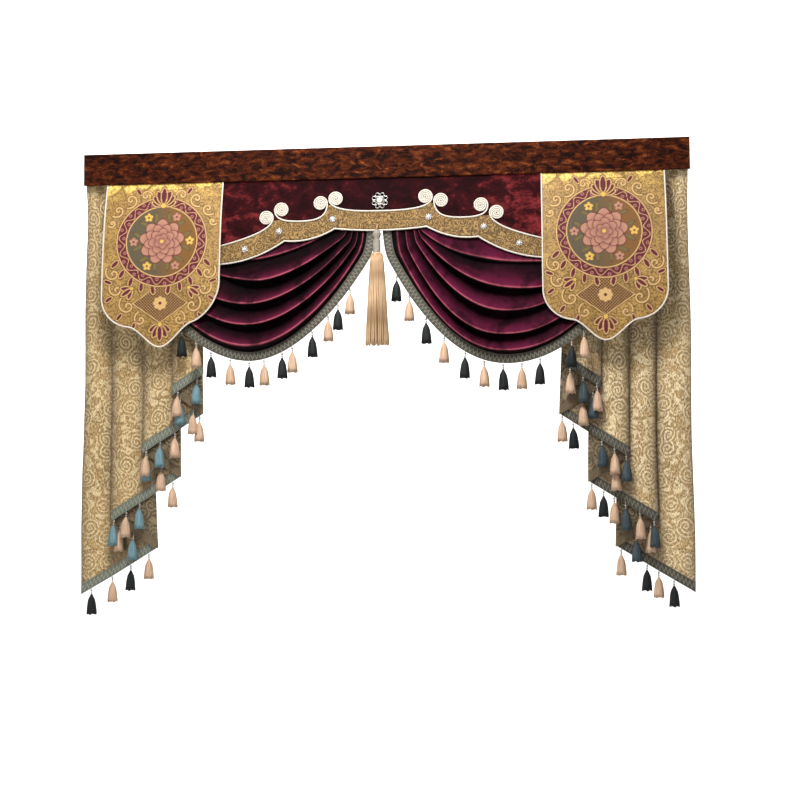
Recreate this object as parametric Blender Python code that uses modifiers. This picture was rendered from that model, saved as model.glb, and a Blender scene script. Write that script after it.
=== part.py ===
"""A swagged window valance: heading band, flat panel, arched border, two swags, two tabs, two pleated tails.

Metres, +Z up. X runs along the heading, -Y faces the room, and the origin is the middle of the
heading band's top edge, on its back face. Left and right are as seen from the room.
"""

import math

import bmesh
import bpy
from mathutils import Vector

LEFT, RIGHT = -1, 1
SIDE_NAME = {LEFT: "left", RIGHT: "right"}

# Cloth and seams
CLOTH = 0.002
SEAM_GAP = 0.0003
HEM_GAP = 0.0008

# Heading band
BAND_WIDTH, BAND_HEIGHT, BAND_THICKNESS = 2.0, 0.105, 0.003
CLOTH_TOP = -0.004

# Depth of each layer's middle behind the band's back face
TAB_Y = SEAM_GAP + CLOTH / 2
BORDER_Y = TAB_Y
PANEL_Y = TAB_Y + CLOTH + SEAM_GAP
PANEL_BACK = PANEL_Y + CLOTH / 2
PANEL_FRONT = PANEL_Y - CLOTH / 2
SWAG_Y = PANEL_BACK + SEAM_GAP + 0.0013

# Flat panel, mostly hidden behind the border and the tabs
PANEL_END, PANEL_LAP = ((0.600, -0.290), (0.840, -0.242)), 0.010

# Arched border: piping, coils and the outline that they follow
PIPING = 0.0055
PIPING_Y = PANEL_FRONT - SEAM_GAP - PIPING / 2
PIPING_OFFSET = PIPING / 2 + SEAM_GAP
BORDER_HALF = 0.548
COIL_RADIUS, COIL_PITCH, COIL_TURNS, COIL_STEPS = 0.0229, 0.0059, 3.0, 9
ARC_STEPS = 8
VALLEY = {"middle": (0.0, -0.2145), "side": (0.268, -0.2425), "outer": (BORDER_HALF, -0.322)}
COIL = {  # name: (distance from the middle, height, which way the cord comes up: 1 on its outer side)
    "first": (0.147, -0.171, 1),
    "second": (0.199, -0.185, -1),
    "third": (0.328, -0.203, 1),
    "fourth": (0.380, -0.229, -1),
}
PEAK_TOP = {"inner": -0.189, "outer": -0.236}
LOWER_EDGE = (  # each arc of the lower edge: start, control point, end, as (distance, height)
    ((0.0, -0.275), (0.080, -0.275), (0.152, -0.266)),
    ((0.152, -0.266), (0.235, -0.314), (0.320, -0.303)),
    ((0.320, -0.303), (0.425, -0.374), (BORDER_HALF, -0.377)),
)

# Beads on the border and the flower brooch on the panel
BEAD_RADIUS, BEAD_DEPTH = 0.0105, 0.0065
BEADS = ((0.158, -0.238), (0.337, -0.274), (0.452, -0.331))
BROOCH = {"x": -0.002, "z": -0.180, "radius": 0.0245, "lobe": 0.0035, "lobes": 8, "thick": 0.004, "dome": 0.0095}

# Tabs
TAB_CENTRE, TAB_HALF = 0.722, 0.1935
TAB_TIP, TAB_SHOULDER, TAB_SIDE_END = -0.653, -0.587, -0.490
TAB_LEAN, TAB_LEAN_LENGTH, TAB_HANG_FROM = 0.075, 0.25, -0.1065
TAB_PIPING, TAB_PIPING_DROP = 0.0052, 0.001
TAB_INNER_RAISE = {LEFT: 0.045, RIGHT: 0.0}
TAB_BUCKLE = 0.003

# Swags: one row for each fold, from the sewn top edge down to the hem
SWAG_CENTRE = 0.443
SWAG_SEWN = -0.235
SWAG_FOLDS = {  # (lowest height, where it gathers, how round it hangs, how far out it hangs lowest)
    LEFT: (
        (-0.255, 0.160, 1.80, -0.025),
        (-0.364, 0.132, 1.71, 0.016),
        (-0.440, 0.097, 1.74, -0.130),
        (-0.518, 0.078, 1.93, -0.042),
        (-0.587, 0.060, 1.98, -0.041),
        (-0.656, 0.043, 1.98, -0.054),
        (-0.824, -0.056, 1.32, -0.031),
    ),
    RIGHT: (
        (-0.262, 0.160, 1.80, 0.430),
        (-0.389, 0.111, 3.68, 0.449),
        (-0.482, 0.108, 2.31, 0.054),
        (-0.556, 0.094, 2.09, -0.093),
        (-0.632, 0.066, 2.18, -0.116),
        (-0.684, 0.039, 2.15, -0.100),
        (-0.785, -0.120, 1.20, 0.050),
    ),
}
SWAG_END = 5.5
FOLD_SHEAR = 1.15
FOLD_BACK, FOLD_OUT_END, FOLD_OUT_MIDDLE = 0.007, 0.010, 0.032
FOLD_PEAK_X, FOLD_PEAK_SPREAD = 0.33, 0.17
HEM_FALL, FIRST_FOLD = 0.45, 0.25
BELLY, BELLY_TOP, BELLY_LENGTH = 0.055, -0.300, 0.40
CLEAR_START, CLEAR_LENGTH = 0.035, 0.035
GATHER_FROM, GATHER_PINCH = 0.92, 0.014
SWAG_COLUMNS, FOLD_ROWS = 14, (0.0, 0.20, 0.42, 0.66, 0.86)

# Fringe: a woven strip with tassels on its lower edge
STRIP_WIDTH, STRIP_THICKNESS = 0.028, 0.0022
TASSEL_PROFILE = (  # (distance below the strip, radius)
    (-0.008, 0.0020),
    (0.009, 0.0052),
    (0.021, 0.0036),
    (0.037, 0.0120),
    (0.085, 0.0175),
)
TASSEL_SIDES, TASSEL_FLUTE = 6, 0.14
TASSEL_SWING = 0.037
SWAG_TASSELS = {  # distances along the strip's foot from its inner end
    LEFT: (0.257, 0.323, 0.373, 0.446, 0.528, 0.566, 0.629, 0.679, 0.744, 0.814, 0.874, 0.938),
    RIGHT: (0.204, 0.284, 0.380, 0.468, 0.553, 0.620, 0.681, 0.741, 0.801, 0.916, 0.965),
}

# Tails: one row for each fold line, from the outer edge inwards
TAIL_FOLDS = {  # (distance at the hem, distance at the heading)
    LEFT: (
        (1.017, 0.997),
        (0.752, 0.806),
        (0.912, 0.921),
        (0.662, 0.706),
        (0.803, 0.808),
        (0.584, 0.620),
        (0.700, 0.703),
        (0.585, 0.606),
    ),
    RIGHT: (
        (0.998, 0.995),
        (0.741, 0.800),
        (0.882, 0.886),
        (0.652, 0.700),
        (0.798, 0.795),
        (0.557, 0.604),
        (0.711, 0.706),
        (0.565, 0.600),
    ),
}
TAIL_CUT = {LEFT: (1.470, 0.575), RIGHT: (1.458, 0.5625)}  # (drop at the outer edge, slope of the hem)
TAIL_Y_TOP, TAIL_Y_LOW, TAIL_SETTLE = 0.0254, 0.061, 0.22
TAIL_PITCH_TOP, TAIL_PITCH_GROWTH = 0.0032, 0.0064
TAIL_EDGE_FORWARD, TAIL_ROUND, TAIL_ROUND_FROM = 0.0235, 0.007, 0.30
TAIL_PANEL_STEPS = (5, 2, 4, 2, 4, 2, 3)
TAIL_TURN_STEPS = 3
TAIL_ROWS = (0.0, 0.07, 0.16, 0.32, 0.62, 1.0)
TAIL_TASSELS = {  # for each panel, how far along it the tassels hang
    LEFT: (
        (0.13, 0.39, 0.64, 0.89),
        (0.52, 0.83),
        (0.03, 0.22, 0.41, 0.90),
        (0.49, 0.90),
        (0.06, 0.30, 0.54, 0.96),
        (0.29, 0.76),
        (0.17, 0.80),
    ),
    RIGHT: (
        (0.27, 0.46, 0.61, 0.95),
        (0.47, 0.85),
        (0.04, 0.25, 0.46, 0.63, 0.79, 0.97),
        (0.69,),
        (0.03, 0.20, 0.38, 0.81, 0.98),
        (0.56, 0.83),
        (0.08, 0.44, 0.78),
    ),
}
TAIL_TASSEL_CLEAR = 0.0215

# Centre tassel: a turned head, a neck and two rings of strands
CENTRE_X, CENTRE_Y = -0.008, -0.042
CENTRE_HEAD = (  # (height, radius)
    (-0.283, 0.003),
    (-0.288, 0.0105),
    (-0.298, 0.0145),
    (-0.310, 0.0115),
    (-0.318, 0.0095),
    (-0.322, 0.0128),
    (-0.360, 0.0128),
    (-0.366, 0.0185),
    (-0.380, 0.0205),
    (-0.395, 0.0165),
)
CENTRE_SIDES = 12
STRAND_RINGS = (  # (number, root radius, foot radius, root width, foot width)
    (26, 0.0196, 0.0365, 0.0038, 0.0062),
    (14, 0.0120, 0.0240, 0.0036, 0.0062),
)
STRAND_TOP, STRAND_FOOT = -0.372, -0.657
HANGER = 0.004


def lerp(a, b, t):
    return a + (b - a) * t


def smooth(t):
    """0 below 0, 1 above 1, and an even curve between."""
    t = max(0.0, min(1.0, t))
    return t * t * (3 - 2 * t)


def bezier(points, t):
    """Point at t on the Bezier curve with these two-number control points."""
    points = [Vector(p) for p in points]
    while len(points) > 1:
        points = [a.lerp(b, t) for a, b in zip(points, points[1:])]
    return points[0]


def offset_path(path, distance):
    """The path moved sideways, to the left of its direction when distance is positive."""
    moved = []
    for index, point in enumerate(path):
        along = path[min(index + 1, len(path) - 1)] - path[max(index - 1, 0)]
        moved.append(point + Vector((-along.y, along.x)).normalized() * distance)
    return moved


def clear_scene():
    for obj in list(bpy.data.objects):
        bpy.data.objects.remove(obj, do_unlink=True)


def make_collection(name):
    collection = bpy.data.collections.new(name)
    bpy.context.scene.collection.children.link(collection)
    return collection


def make_material(name, colour, roughness, metallic=0.0):
    material = bpy.data.materials.new(name)
    material.use_nodes = True
    shader = material.node_tree.nodes["Principled BSDF"]
    shader.inputs["Base Color"].default_value = (*colour, 1.0)
    shader.inputs["Roughness"].default_value = roughness
    shader.inputs["Metallic"].default_value = metallic
    return material


def make_materials():
    return {
        "band": make_material("brown velvet", (0.115, 0.030, 0.012), 0.75),
        "velvet": make_material("burgundy velvet", (0.105, 0.008, 0.020), 0.60),
        "damask": make_material("gold damask", (0.440, 0.290, 0.110), 0.60),
        "tab": make_material("embroidered gold satin", (0.560, 0.380, 0.110), 0.50),
        "piping": make_material("ivory cord", (0.790, 0.730, 0.620), 0.70),
        "braid": make_material("grey green braid", (0.150, 0.150, 0.115), 0.80),
        "bullion": make_material("beige bullion", (0.680, 0.500, 0.310), 0.75),
        "bead": make_material("pearl bead", (0.850, 0.830, 0.800), 0.25),
        "brooch": make_material("silver brooch", (0.700, 0.670, 0.620), 0.30, 0.8),
    }


def add_object(name, data, material, collection):
    obj = bpy.data.objects.new(name, data)
    obj.data.materials.append(material)
    collection.objects.link(obj)
    return obj


def cloth_sheet(name, columns, rows, place, thickness, material, collection, even=True):
    """A grid of columns by rows faces, each corner put at place(u, v), thickened both ways."""
    bm = bmesh.new()
    bmesh.ops.create_grid(bm, x_segments=columns, y_segments=rows, size=0.5)
    for vert in bm.verts:
        vert.co = place(vert.co.x + 0.5, vert.co.y + 0.5)
    mesh = bpy.data.meshes.new(name)
    bm.to_mesh(mesh)
    bm.free()
    sheet = add_object(name, mesh, material, collection)
    solidify = sheet.modifiers.new("Thickness", "SOLIDIFY")
    solidify.thickness = thickness
    solidify.offset = 0.0
    solidify.use_even_offset = even
    sheet.data.shade_smooth()
    return sheet


def flat_outline(name, outline, thickness, y, material, collection):
    """An upright plate with this outline of (x, z) points, its middle at depth y."""
    curve = bpy.data.curves.new(name, "CURVE")
    curve.dimensions = "2D"
    curve.fill_mode = "BOTH"
    curve.extrude = thickness / 2
    spline = curve.splines.new("POLY")
    spline.points.add(len(outline) - 1)
    for spot, (x, z) in zip(spline.points, outline):
        spot.co = (x, z, 0.0, 1.0)
    spline.use_cyclic_u = True
    plate = add_object(name, curve, material, collection)
    plate.rotation_euler.x = math.pi / 2
    plate.location.y = y
    return plate


def round_cord(name, path, diameter, resolution, material, collection):
    """A tube through these three-number points, with filled ends."""
    curve = bpy.data.curves.new(name, "CURVE")
    curve.dimensions = "3D"
    curve.bevel_depth = diameter / 2
    curve.bevel_resolution = resolution
    curve.use_fill_caps = True
    spline = curve.splines.new("POLY")
    spline.points.add(len(path) - 1)
    for spot, point in zip(spline.points, path):
        spot.co = (*point, 1.0)
    spline.use_smooth = True
    return add_object(name, curve, material, collection)


def add_turned_form(bm, rings, sides, flute=0.0):
    """Adds a closed form with a ring of corners round each (centre, radius), top ring first.

    Every other corner is drawn in by the flute's share of the radius.
    """
    tube = bmesh.new()
    bmesh.ops.create_grid(tube, x_segments=sides, y_segments=len(rings) - 1, size=0.5)
    for vert in tube.verts:
        side = round((vert.co.x + 0.5) * sides) % sides
        centre, radius = rings[round((vert.co.y + 0.5) * (len(rings) - 1))]
        angle = 2 * math.pi * side / sides
        reach = radius * (1 - flute * (side % 2))
        vert.co = centre + Vector((math.cos(angle), math.sin(angle), 0.0)) * reach
    bmesh.ops.remove_doubles(tube, verts=tube.verts, dist=1e-6)
    bmesh.ops.holes_fill(tube, edges=tube.edges, sides=sides)
    bmesh.ops.recalc_face_normals(tube, faces=tube.faces)
    mesh = bpy.data.meshes.new("turned form")
    tube.to_mesh(mesh)
    tube.free()
    bm.from_mesh(mesh)
    bpy.data.meshes.remove(mesh)


def join_with(obj, bm, name, cutters):
    """Joins the closed forms in bm to obj with a Boolean union."""
    mesh = bpy.data.meshes.new(name)
    bm.to_mesh(mesh)
    bm.free()
    helper = bpy.data.objects.new(name, mesh)
    helper.hide_render = True
    helper.display_type = "WIRE"
    cutters.objects.link(helper)
    union = obj.modifiers.new("Joined " + name, "BOOLEAN")
    union.operation = "UNION"
    union.object = helper
    union.solver = "EXACT"


def upright(path, y):
    """A path of (x, z) points as three-number points at depth y."""
    return [(point.x, y, point.y) for point in path]


# The border's outline and its piping


def coil_start(name):
    """Where the piping meets the coil, on the coil's inner or outer side."""
    x, z, outward = COIL[name]
    return Vector((x + outward * COIL_RADIUS, z))


def rise_to_coil(valley, name):
    """The piping from a valley up to a coil, as control points: level at first, upright at the end."""
    start, end = Vector(valley), coil_start(name)
    return (
        start,
        Vector((lerp(start.x, end.x, 0.55), start.y)),
        Vector((end.x, lerp(start.y, end.y, 0.12))),
        end,
    )


def outer_rise():
    """The piping from behind the tab up to the fourth coil."""
    start, end = Vector(VALLEY["outer"]), coil_start("fourth")
    return (start, Vector((0.440, -0.296)), Vector((end.x, -0.268)), end)


def coil_path(name):
    """The coil from its outer turn inwards, a loop of steps with a falling radius."""
    x, z, outward = COIL[name]
    path = []
    for step in range(1, round(COIL_TURNS * COIL_STEPS) + 1):
        turn = step / COIL_STEPS
        radius = COIL_RADIUS - COIL_PITCH * turn
        angle = 2 * math.pi * turn
        path.append(Vector((x + outward * radius * math.cos(angle), z + radius * math.sin(angle))))
    return path


def rise_path(control):
    return [bezier(control, step / ARC_STEPS) for step in range(ARC_STEPS + 1)]


def mirrored(path, side):
    return [Vector((point.x * side, point.y)) for point in path]


def lower_edge_path():
    """The lower edge from the middle out to one end, as points along its three arcs."""
    path = [Vector(LOWER_EDGE[0][0])]
    for arc, steps in zip(LOWER_EDGE, (2, 5, 5)):
        path += [bezier(arc, step / steps) for step in range(1, steps + 1)]
    return path


def lower_edge_height(distance):
    """Height of the lowest flat cloth at this distance: the border, then the hidden end of the panel."""
    path = lower_edge_path() + [Vector(corner) for corner in PANEL_END]
    for a, b in zip(path, path[1:]):
        if a.x <= distance <= b.x:
            return lerp(a.y, b.y, (distance - a.x) / (b.x - a.x))
    return path[-1].y


def upper_edge_path():
    """The border's upper edge from the middle out to one end, just under the piping."""
    to_first = offset_path(rise_path(rise_to_coil(VALLEY["middle"], "first")), -PIPING_OFFSET)
    to_second = offset_path(rise_path(rise_to_coil(VALLEY["side"], "second")), PIPING_OFFSET)
    to_third = offset_path(rise_path(rise_to_coil(VALLEY["side"], "third")), -PIPING_OFFSET)
    to_fourth = offset_path(rise_path(outer_rise()), PIPING_OFFSET)
    inner = [point for point in to_first + to_second[:0:-1] if point.y < PEAK_TOP["inner"]]
    outer = [point for point in to_third + to_fourth[::-1] if point.y < PEAK_TOP["outer"]]
    return inner + outer


def make_border(materials, shown):
    right_top, right_low = upper_edge_path(), lower_edge_path()
    outline = (
        list(reversed(mirrored(right_top, LEFT)))[:-1]
        + right_top
        + list(reversed(right_low))
        + mirrored(right_low, LEFT)[1:]
    )
    flat_outline("arched_border", outline, CLOTH, BORDER_Y, materials["damask"], shown)


def make_panel(materials, shown):
    low = [point + Vector((0.0, PANEL_LAP)) for point in lower_edge_path()]
    end = [Vector(corner) for corner in PANEL_END]
    half = [Vector((end[-1].x, CLOTH_TOP))] + end[::-1] + low[::-1]
    outline = half + mirrored(half[:-1], LEFT)[::-1]
    flat_outline("velvet_panel", outline, CLOTH, PANEL_Y, materials["velvet"], shown)


def make_piping(materials, shown):
    """The five upper cords with their coils, and the one lower cord."""
    to_first = rise_path(rise_to_coil(VALLEY["middle"], "first"))[1:] + coil_path("first")
    middle = list(reversed(mirrored(to_first, LEFT))) + [Vector(VALLEY["middle"])] + to_first
    round_cord("piping_middle", upright(middle, PIPING_Y), PIPING, 0, materials["piping"], shown)
    to_second = rise_path(rise_to_coil(VALLEY["side"], "second"))[1:] + coil_path("second")
    to_third = rise_path(rise_to_coil(VALLEY["side"], "third"))[1:] + coil_path("third")
    between = list(reversed(to_second)) + [Vector(VALLEY["side"])] + to_third
    outer = rise_path(outer_rise()) + coil_path("fourth")
    for side in (LEFT, RIGHT):
        for part, path in (("side", between), ("outer", outer)):
            name = f"piping_{part}_{SIDE_NAME[side]}"
            route = upright(mirrored(path, side), PIPING_Y)
            round_cord(name, route, PIPING, 0, materials["piping"], shown)
    low = offset_path(lower_edge_path(), -PIPING_OFFSET)
    route = list(reversed(mirrored(low, LEFT)))[:-1] + low
    round_cord("piping_lower", upright(route, PIPING_Y), PIPING, 1, materials["piping"], shown)


# Beads and brooch


def make_beads(materials, shown):
    """Flattened round beads, each with its back just off the border."""
    for side in (LEFT, RIGHT):
        for index, (distance, height) in enumerate(BEADS, 1):
            bm = bmesh.new()
            bmesh.ops.create_uvsphere(bm, u_segments=8, v_segments=6, radius=1.0)
            for vert in bm.verts:
                flat = max(vert.co.z, -0.45)
                vert.co = Vector((vert.co.x * BEAD_RADIUS, -flat * BEAD_DEPTH, vert.co.y * BEAD_RADIUS))
            bmesh.ops.recalc_face_normals(bm, faces=bm.faces)
            mesh = bpy.data.meshes.new("bead")
            bm.to_mesh(mesh)
            bm.free()
            bead = add_object(f"bead_{SIDE_NAME[side]}_{index}", mesh, materials["bead"], shown)
            border_front = BORDER_Y - CLOTH / 2
            bead.location = (side * distance, border_front - SEAM_GAP - 0.45 * BEAD_DEPTH, height)


def make_brooch(materials, shown, cutters):
    """A lobed plate with a domed centre."""
    steps = BROOCH["lobes"] * 4
    outline = []
    for step in range(steps):
        angle = 2 * math.pi * step / steps
        reach = BROOCH["radius"] + BROOCH["lobe"] * math.cos(BROOCH["lobes"] * angle)
        outline.append((reach * math.cos(angle), reach * math.sin(angle)))
    bm = bmesh.new()
    corners = [bm.verts.new((x, 0.0, z)) for x, z in outline]
    face = bm.faces.new(corners)
    grown = bmesh.ops.extrude_face_region(bm, geom=[face])
    front = [item for item in grown["geom"] if isinstance(item, bmesh.types.BMVert)]
    bmesh.ops.translate(bm, verts=front, vec=(0.0, -BROOCH["thick"], 0.0))
    bmesh.ops.recalc_face_normals(bm, faces=bm.faces)
    mesh = bpy.data.meshes.new("brooch")
    bm.to_mesh(mesh)
    bm.free()
    place = Vector((BROOCH["x"], PANEL_FRONT - SEAM_GAP, BROOCH["z"]))
    brooch = add_object("brooch", mesh, materials["brooch"], shown)
    brooch.location = place
    dome = bmesh.new()
    bmesh.ops.create_uvsphere(dome, u_segments=10, v_segments=6, radius=BROOCH["dome"])
    centre = place + Vector((0.0, -BROOCH["thick"], 0.0))
    bmesh.ops.translate(dome, verts=dome.verts, vec=centre)
    for vert in dome.verts:
        vert.co.y = max(min(vert.co.y, place.y - 0.001), centre.y - 0.7 * BROOCH["dome"])
    join_with(brooch, dome, "brooch dome", cutters)


# Tabs


def tab_depth(height):
    """Depth of the tab's middle: behind the band at the top, then leaning out over the swag and tail."""
    below = max(0.0, TAB_HANG_FROM - height)
    return TAB_Y - TAB_LEAN * (1 - math.exp(-below / TAB_LEAN_LENGTH))


def tab_low(side, across):
    """Height of the tab's lower edge; across runs from -1 at its inner side to 1 at its outer side."""
    reach = abs(across)
    low = lerp(TAB_TIP, TAB_SHOULDER, smooth(reach / 0.55))
    if reach > 0.5:
        share = min(1.0, (reach - 0.5) / 0.5)
        low += (TAB_SIDE_END - TAB_SHOULDER) * (1 - math.sqrt(max(0.0, 1 - share * share)))
    if across < 0:
        low += TAB_INNER_RAISE[side] * reach * reach
    return low


def tab_point(side, across, down):
    """A point of the tab: across from -1 to 1, down from 0 at the top to 1 at the lower edge."""
    x = TAB_CENTRE + TAB_HALF * across
    low = tab_low(side, across)
    if down <= 0.12:
        height = lerp(CLOTH_TOP, TAB_HANG_FROM, down / 0.12)
    else:
        height = lerp(TAB_HANG_FROM, low, (down - 0.12) / 0.88)
    buckle = TAB_BUCKLE * math.sin(3.1 * across + 1.0) * smooth((TAB_HANG_FROM - height) / 0.15)
    return Vector((side * x, tab_depth(height) + buckle, height))


def make_tab(side, materials, shown):
    name = SIDE_NAME[side]
    columns, rows = 16, 6

    def place(u, v):
        across = math.sin((u - 0.5) * math.pi)
        row = round((1 - v) * rows)
        down = 0.0 if row == 0 else 0.12 + 0.88 * (row - 1) / (rows - 1)
        return tab_point(side, across, down)

    cloth_sheet(f"tab_{name}", columns, rows, place, CLOTH, materials["tab"], shown)
    edge = []
    for step in range(rows - 1):
        edge.append(tab_point(side, -1.0, 0.12 + 0.88 * step / (rows - 1)))
    for step in range(columns + 1):
        edge.append(tab_point(side, math.sin((step / columns - 0.5) * math.pi), 1.0))
    for step in range(rows - 1):
        edge.append(tab_point(side, 1.0, 1.0 - 0.88 * (step + 1) / (rows - 1)))
    flat = [Vector((point.x, point.z)) for point in edge]
    out = offset_path(flat, -side * (TAB_PIPING / 2 + SEAM_GAP))
    nearest = PANEL_FRONT - SEAM_GAP - TAB_PIPING / 2
    cord = [Vector((spot.x, min(point.y, nearest), spot.y)) for spot, point in zip(out, edge)]
    cord[0].z = cord[-1].z = -BAND_HEIGHT - TAB_PIPING_DROP
    round_cord(f"tab_piping_{name}", cord, TAB_PIPING, 0, materials["piping"], shown)


# Swags


def fold_row(side, place):
    """Lowest height, gather, roundness and place of the lowest point, at a fractional row."""
    rows = SWAG_FOLDS[side]
    index = min(int(place), len(rows) - 2)
    return [lerp(a, b, place - index) for a, b in zip(rows[index], rows[index + 1])]


def swag_across(share):
    """Columns stand closer towards the two gathers."""
    return math.sin((share - 0.5) * math.pi)


def swag_outline(side, across, place):
    """(distance, height) on the hanging curve of a fractional fold row, across from -1 to 1."""
    low, gather, roundness, lowest = fold_row(side, place)
    end = lerp(-0.250, -0.300, place / 5.0)
    reach = (lowest - across) / (1 + lowest) if across < lowest else (across - lowest) / (1 - lowest)
    tuck = max(0.0, (abs(across) - GATHER_FROM) / (1 - GATHER_FROM)) ** 2
    height = low + (end - low) * reach**roundness + (SWAG_SEWN - end) * tuck
    return SWAG_CENTRE + across * (SWAG_CENTRE - gather - GATHER_PINCH * tuck), height


def swag_point(side, across, place):
    """A point of the swag's middle. The fold is a sheared wave: it comes forward slowly as the cloth goes
    down, stands out most at each whole row and tucks back quickly under it."""
    phase = 2 * math.pi * place
    x, height = swag_outline(side, across, max(0.0, place + FOLD_SHEAR / (2 * math.pi) * (math.cos(phase) - 1)))
    out = (1 + math.cos(phase)) / 2
    if place > 5.0:
        out = lerp(HEM_FALL, 1.0, out)
    if place < 1.0:
        out *= smooth(place)
    spread = math.exp(-(((x - FOLD_PEAK_X) / FOLD_PEAK_SPREAD) ** 2))
    forward = (FOLD_OUT_END + FOLD_OUT_MIDDLE * spread) * out * lerp(FIRST_FOLD, 1.0, smooth(place - 1))
    forward += BELLY * smooth((BELLY_TOP - height) / BELLY_LENGTH)
    clear = smooth((lower_edge_height(x) - CLEAR_START - height) / CLEAR_LENGTH)
    return Vector((side * x, SWAG_Y + FOLD_BACK * (1 - out) - clear * forward, height))


def swag_hem(side, columns):
    """The swag's lower edge and, for each of its points, the way outwards, square to it in the front view."""
    edge = [swag_point(side, swag_across(step / columns), SWAG_END) for step in range(columns + 1)]
    away = []
    for step in range(columns + 1):
        along = edge[min(step + 1, columns)] - edge[max(step - 1, 0)]
        away.append(Vector((side * along.z, 0.0, -side * along.x)).normalized())
    return edge, away


def make_swag(side, materials, shown, cutters):
    name = SIDE_NAME[side]
    places = [fold + share for fold in range(6) for share in FOLD_ROWS if fold + share < SWAG_END]
    places.append(SWAG_END)
    rows = len(places) - 1

    def place(u, v):
        return swag_point(side, swag_across(u), places[round((1 - v) * rows)])

    cloth = materials["velvet"]
    cloth_sheet(f"swag_{name}", SWAG_COLUMNS, rows, place, CLOTH, cloth, shown, even=False)
    edge, away = swag_hem(side, SWAG_COLUMNS)

    def strip_place(u, v):
        step = round(u * SWAG_COLUMNS)
        return edge[step] + away[step] * (HEM_GAP + STRIP_WIDTH * (1 - v))

    fringe = cloth_sheet(
        f"swag_fringe_{name}", SWAG_COLUMNS, 1, strip_place, STRIP_THICKNESS, materials["braid"], shown
    )
    foot = [point + way * (HEM_GAP + STRIP_WIDTH) for point, way in zip(edge, away)]
    spots = [point_along(foot, distance) for distance in SWAG_TASSELS[side]]
    add_tassels(fringe, spots, f"tassels swag {name}", cutters)


def point_along(path, distance):
    """The point this far along a path of points."""
    for a, b in zip(path, path[1:]):
        length = (b - a).length
        if distance <= length:
            return a.lerp(b, distance / length)
        distance -= length
    return path[-1]


def add_tassels(fringe, spots, name, cutters, forward=()):
    """Hangs a tassel from each spot; forward says how far each one swings out in front of its spot."""
    bm = bmesh.new()
    swings = forward or [0.0] * len(spots)
    for spot, swing in zip(spots, swings):
        rings = []
        for below, radius in TASSEL_PROFILE:
            rings.append((spot + Vector((0.0, -swing * smooth(below / TASSEL_SWING), -below)), radius))
        add_turned_form(bm, rings, TASSEL_SIDES, TASSEL_FLUTE)
    join_with(fringe, bm, name, cutters)


# Tails


def tail_pitch(height):
    """Distance between the tail's layers, which open out towards the hem."""
    return TAIL_PITCH_TOP - TAIL_PITCH_GROWTH * height


def tail_columns():
    """Each column of the tail as (panel, share of the panel) or (fold, share of the turn)."""
    columns = []
    last = len(TAIL_PANEL_STEPS) - 1
    for panel, steps in enumerate(TAIL_PANEL_STEPS):
        columns += [("panel", panel, step / steps) for step in range(steps + 1)]
        if panel < last:
            columns += [("turn", panel, step / TAIL_TURN_STEPS) for step in range(1, TAIL_TURN_STEPS)]
    return columns


def tail_run(side, column):
    """Distance along the flat cloth of a column, from the outer edge."""
    kind, panel, share = column
    folds = [hem for hem, _ in TAIL_FOLDS[side]]
    lengths = [abs(b - a) for a, b in zip(folds, folds[1:])]
    return sum(lengths[:panel]) + lengths[panel] * (share if kind == "panel" else 1.0)


def tail_foot(side, column):
    """Height of the bottom of the fringe strip: the hem is one straight slanting cut."""
    drop, slope = TAIL_CUT[side]
    return slope * tail_run(side, column) - drop


def tail_layer_y(panel, height):
    back = lerp(TAIL_Y_TOP, TAIL_Y_LOW, smooth(-height / TAIL_SETTLE))
    return back - panel * tail_pitch(height)


def fold_x(side, index, height):
    hem, top = TAIL_FOLDS[side][index]
    return lerp(top, hem, min(1.0, -height / TAIL_CUT[side][0]))


def tail_point(side, column, height):
    """A point of the tail's middle: seven panels back and forth, joined by half-round turns."""
    kind, panel, share = column
    inward = -1 if panel % 2 == 0 else 1
    radius = tail_pitch(height) / 2
    near, far = fold_x(side, panel, height), fold_x(side, panel + 1, height)
    start = near + (inward * radius if panel > 0 else 0.0)
    end = far - (inward * radius if panel < len(TAIL_PANEL_STEPS) - 1 else 0.0)
    y = tail_layer_y(panel, height)
    if kind == "turn":
        angle = math.pi * share
        return Vector(
            (side * (end + inward * radius * math.sin(angle)), y - radius * (1 - math.cos(angle)), height)
        )
    x = lerp(start, end, share)
    if panel % 2 == 0:
        seen_to = fold_x(side, panel + 2, height) if panel + 2 < len(TAIL_FOLDS[side]) else far
        across = (near - x) / max(near - seen_to, 1e-6)
        swell = TAIL_ROUND * min(1.0, -height / TAIL_ROUND_FROM)
        if across < 1.0:
            y -= swell * math.sin(math.pi * across)
        if panel == 0:
            y -= TAIL_EDGE_FORWARD * max(0.0, 1 - across) ** 1.5
    return Vector((side * x, y, height))


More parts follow.
